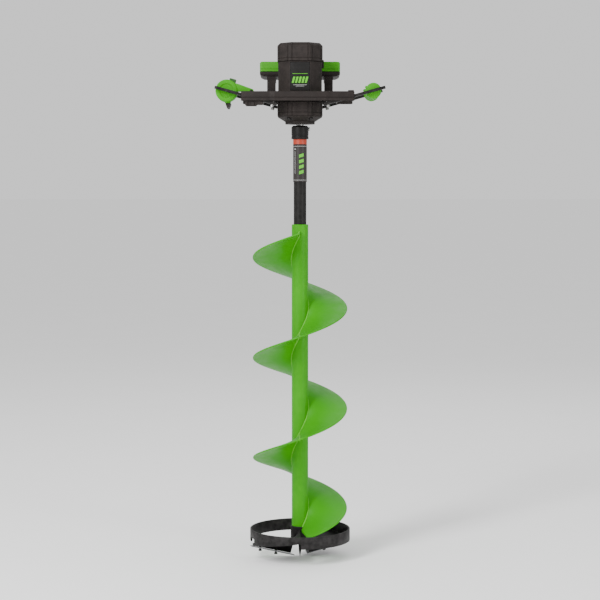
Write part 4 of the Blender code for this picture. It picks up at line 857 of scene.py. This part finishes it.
def grip_section(low, high, radius):
    """Barrel between two flanges, with shallow finger rings."""
    body = radius - 0.0011
    groove = body - 0.0006
    corners = [(0.0, low), (radius, low), (radius, low + 0.0035), (body, low + 0.0050)]
    rings = round((high - low - 0.016) / GRIP_RING_SPACING)
    for index in range(rings):
        middle = low + 0.0085 + index * GRIP_RING_SPACING
        corners += [(body, middle - 0.0008), (groove, middle - 0.0003), (groove, middle + 0.0003),
                    (body, middle + 0.0008)]
    corners += [(body, high - 0.0050), (radius, high - 0.0035), (radius, high), (0.0, high)]
    return rounded(corners, 0.0008, 2, skip=(0, len(corners) - 1))


def grips():
    """Ringed hand grips; the right one has a small ear on each flange."""
    radius = (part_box("grip_right")[1].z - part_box("grip_right")[0].z) / 2
    ear = rounded([(-0.0040, -0.0025), (0.0040, -0.0025), (0.0040, 0.0025), (-0.0040, 0.0025)], 0.0012)
    ear_turn = Matrix.Rotation(math.radians(25.0), 4, "Z")
    for name, side in (("left", -1), ("right", 1)):
        low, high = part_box(f"grip_{name}")
        bm = lathe(bmesh.new(), grip_section(low.y, high.y, radius), 72, lying(side))
        if side > 0:
            place = lying(side) @ ear_turn @ Matrix.Translation((-radius + 0.0015, 0, 0))
            for end in (low.y + 0.0002, high.y - 0.0032):
                slab(bm, lambda inset: ear, end, end + 0.0030, 0.0002, place)
        piece(f"handgrip_{name}", bm, GREEN_PLASTIC, "powerhead", [f"grip_{name}"])


def pod_neck(bm, near, far, end):
    """Tapering neck from the pod's side down to the frame."""
    root, foot = -GRIP_X + 0.006, 0.9383
    corners = [(root, 0.9575), (-0.134, 0.9568), (-0.121, 0.9530), (end, 0.9425), (end, foot), (root, foot)]

    def outline(inset):
        return rounded([(x - (inset if x > -0.13 else 0.0), z + (inset if z < 0.94 else -inset))
                        for x, z in corners], 0.0015)
    slab(bm, outline, -far, -near, 0.0012, UPRIGHT)


def throttle_pod():
    """Round pod with a stepped face and a neck, slotted for the trigger, and its screw."""
    low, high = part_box("throttle_pod")
    radius = GRIP_Z - low.z
    face = [(0.0, low.y + 0.0012), (0.0130, low.y + 0.0012), (0.0136, low.y + 0.0004), (0.0150, low.y),
            (radius - 0.0022, low.y), (radius, low.y + 0.0022), (radius, high.y - 0.002),
            (radius - 0.002, high.y), (0.0, high.y)]
    bm = lathe(bmesh.new(), rounded(face, 0.0006, 3, skip=(0, 8)), 96, lying(-1))
    near = low.y + 0.0020
    pod_neck(bm, near, -0.034, high.x)
    pod = piece("pod", bm, GREEN_PLASTIC, "powerhead", ["throttle_pod"])
    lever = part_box("throttle_trigger")
    play = 0.0006
    carve(pod, box_tool((lever[0].x - play, -0.0447, low.z - 0.002),
                        (lever[1].x + play, high.y + 0.002, 0.931)))
    head, socket = 0.0022, 0.0012
    section = rounded([(0.0, -0.0004), (head, -0.0004), (head, 0.0010), (socket, 0.0012), (socket, 0.0006),
                       (0.0, 0.0006)], 0.0003, 2, skip=(0, 5))
    screw = lathe(bmesh.new(), section, 36, Matrix.Translation((high.x - 0.0042, near, 0.9402)) @ UPRIGHT)
    piece("pod_screw", screw, BLACK_STEEL, "powerhead")


# ================================================================ battery
def battery():
    """Battery tray and lid, with a seam round the lid and grip treads on its back."""
    lower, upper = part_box("battery_lower"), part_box("battery_upper")
    half, front, back = upper[1].x, upper[0].y, upper[1].y

    def outline(inset_x, inset_y):
        return rounded([(-half + inset_x, front + inset_y), (half - inset_x, front + inset_y),
                        (half - inset_x, back - inset_y), (-half + inset_x, back - inset_y)], 0.005)
    low, high = lower[0].z, lower[1].z
    levels = [(low, 0.0075, 0.0015), (low + 0.0005, 0.0062, 0.0006), (low + 0.0035, 0.0006, 0.0),
              (low + 0.0045, 0.0, 0.0), (high - 0.0004, 0.0, 0.0), (high, 0.0004, 0.0004)]
    tray = loft(bmesh.new(), [at_height(outline(x, y), z) for z, x, y in levels])
    piece("battery_tray", tray, BLACK_PLASTIC, "battery", ["battery_lower"])
    low, high = upper[0].z, upper[1].z
    edge = 0.004
    arc = [math.pi / 2 * step / 5 for step in range(6)]
    levels = [(low, 0.0006), (low + 0.0006, 0.0), (low + 0.0040, 0.0), (low + 0.0043, SEAM_DEPTH),
              (low + 0.0052, SEAM_DEPTH), (low + 0.0055, 0.0)]
    levels += [(high - edge * (1 - math.sin(a)), edge * (1 - math.cos(a))) for a in arc]
    levels += [(high, 0.0120), (high - 0.0008, 0.0128), (high - 0.0008, 0.0200)]
    lid = loft(bmesh.new(), [at_height(outline(inset, inset), z) for z, inset in levels])
    piece("battery_lid", lid, GREEN_PLASTIC, "battery", ["battery_upper"])
    treads = bmesh.new()
    tread_half, tread_width, spacing = 0.030, 0.0014, 0.0035
    for index in range(6):
        y = back - 0.030 + index * spacing
        tread = rectangle((-tread_half, y), (tread_half, y + tread_width), 0.0006)
        slab(treads, tread, high - 0.0012, high - 0.0001, 0.0003)
    piece("battery_treads", treads, GREEN_PLASTIC, "battery")


# ================================================================ carried-over nodes
def carried_over():
    """Give every CAD node its procedural finish, and round the edges of the angular ones that show."""
    finishes = {"green_paint": GREEN_PAINT, "green_plastic": GREEN_PLASTIC, "black_plastic": BLACK_PLASTIC,
                "black_steel": BLACK_STEEL, "bare_steel": BARE_STEEL, "blade_steel": BLADE_STEEL,
                "copper_winding": COPPER, "orange_band": ORANGE_BAND, "label": LABEL,
                "board_green": BOARD_GREEN, "cell_wrap": CELL_WRAP}
    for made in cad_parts.values():
        for socket in made.material_slots:
            socket.material = finishes[socket.material.name.split(".")[0]]
    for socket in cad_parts["lock_button"].material_slots:
        socket.material = DARK_GREEN
    widths = {"handle_plate_left": 0.0008, "handle_plate_right": 0.0008, "switch_box": 0.0006,
              "throttle_trigger": 0.0006, "battery_dock": 0.0006, "battery_latch": 0.0005,
              "blade_1": 0.0002, "blade_2": 0.0002, "direction_switch": 0.0003, "lock_button": 0.0003,
              "gearcase_bolt_left": 0.0003, "gearcase_bolt_right": 0.0003}
    for name, width in widths.items():
        soften(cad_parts[name], width, 2)


# ================================================================ floor, light and camera
def pale_floor():
    """Matt floor just under the auger's lowest point."""
    bm = bmesh.new()
    bmesh.ops.create_grid(bm, x_segments=1, y_segments=1, size=FLOOR_REACH)
    mesh = bpy.data.meshes.new("floor")
    bm.to_mesh(mesh)
    bm.free()
    floor = bpy.data.objects.new("floor", mesh)
    floor.location.z = cad_low.z - 0.0005
    bpy.context.scene.collection.objects.link(floor)
    made, tree, shader, place = start_finish("pale_floor", specular=0.0)
    tone = mix(tree, noise(tree, place, 3.0), (0.94, 0.94, 0.94), (0.97, 0.97, 0.97))
    tree.links.new(tone, shader.inputs["Base Color"])
    shader.inputs["Roughness"].default_value = 1.0
    mesh.materials.append(made)


def aimed(name, data, spot, target):
    """A lamp or camera put in the scene, looking at a target."""
    made = bpy.data.objects.new(name, data)
    made.location = spot
    made.rotation_euler = (Vector(target) - Vector(spot)).to_track_quat("-Z", "Y").to_euler()
    bpy.context.scene.collection.objects.link(made)
    return made


def studio():
    """White surroundings, three soft lamps and the photograph's viewpoint."""
    world = bpy.data.worlds.new("studio")
    world.use_nodes = True
    sky = world.node_tree.nodes["Background"]
    sky.inputs["Color"].default_value = (1.0, 1.0, 1.0, 1.0)
    sky.inputs["Strength"].default_value = SKY_STRENGTH
    bpy.context.scene.world = world
    for name, spot, width, height, watts in (("key", (-1.7, -2.2, 2.3), 0.7, 2.2, 140.0),
                                             ("fill", (1.9, -1.7, 0.9), 0.5, 1.8, 24.0),
                                             ("rim", (0.6, 2.2, 2.4), 1.6, 1.6, 14.0)):
        lamp = bpy.data.lights.new(name, "AREA")
        lamp.shape = "RECTANGLE"
        lamp.size = width
        lamp.size_y = height
        lamp.energy = watts
        aimed(name, lamp, spot, LAMP_TARGET)
    lens = bpy.data.cameras.new("camera")
    lens.lens = CAMERA_LENS
    lens.sensor_width = 36.0
    bpy.context.scene.camera = aimed("camera", lens, CAMERA_SPOT, CAMERA_TARGET)


for number, start in enumerate(FLIGHT_STARTS, start=1):
    end = (*FLIGHT_STARTS[1:], FLIGHT_END)[number - 1] - FLIGHT_JOINT
    flight_section(number, start, end)
flight_welds()
joint_welds()
tubes()
collar()
cutter_ring()
ramps()
hub()
centre_point()
gear_foot()
gear_housing()
motor_shell()
cap()
label_panel()
sleeve_marks()
handle_frame()
grips()
throttle_pod()
battery()
carried_over()
pale_floor()
studio()
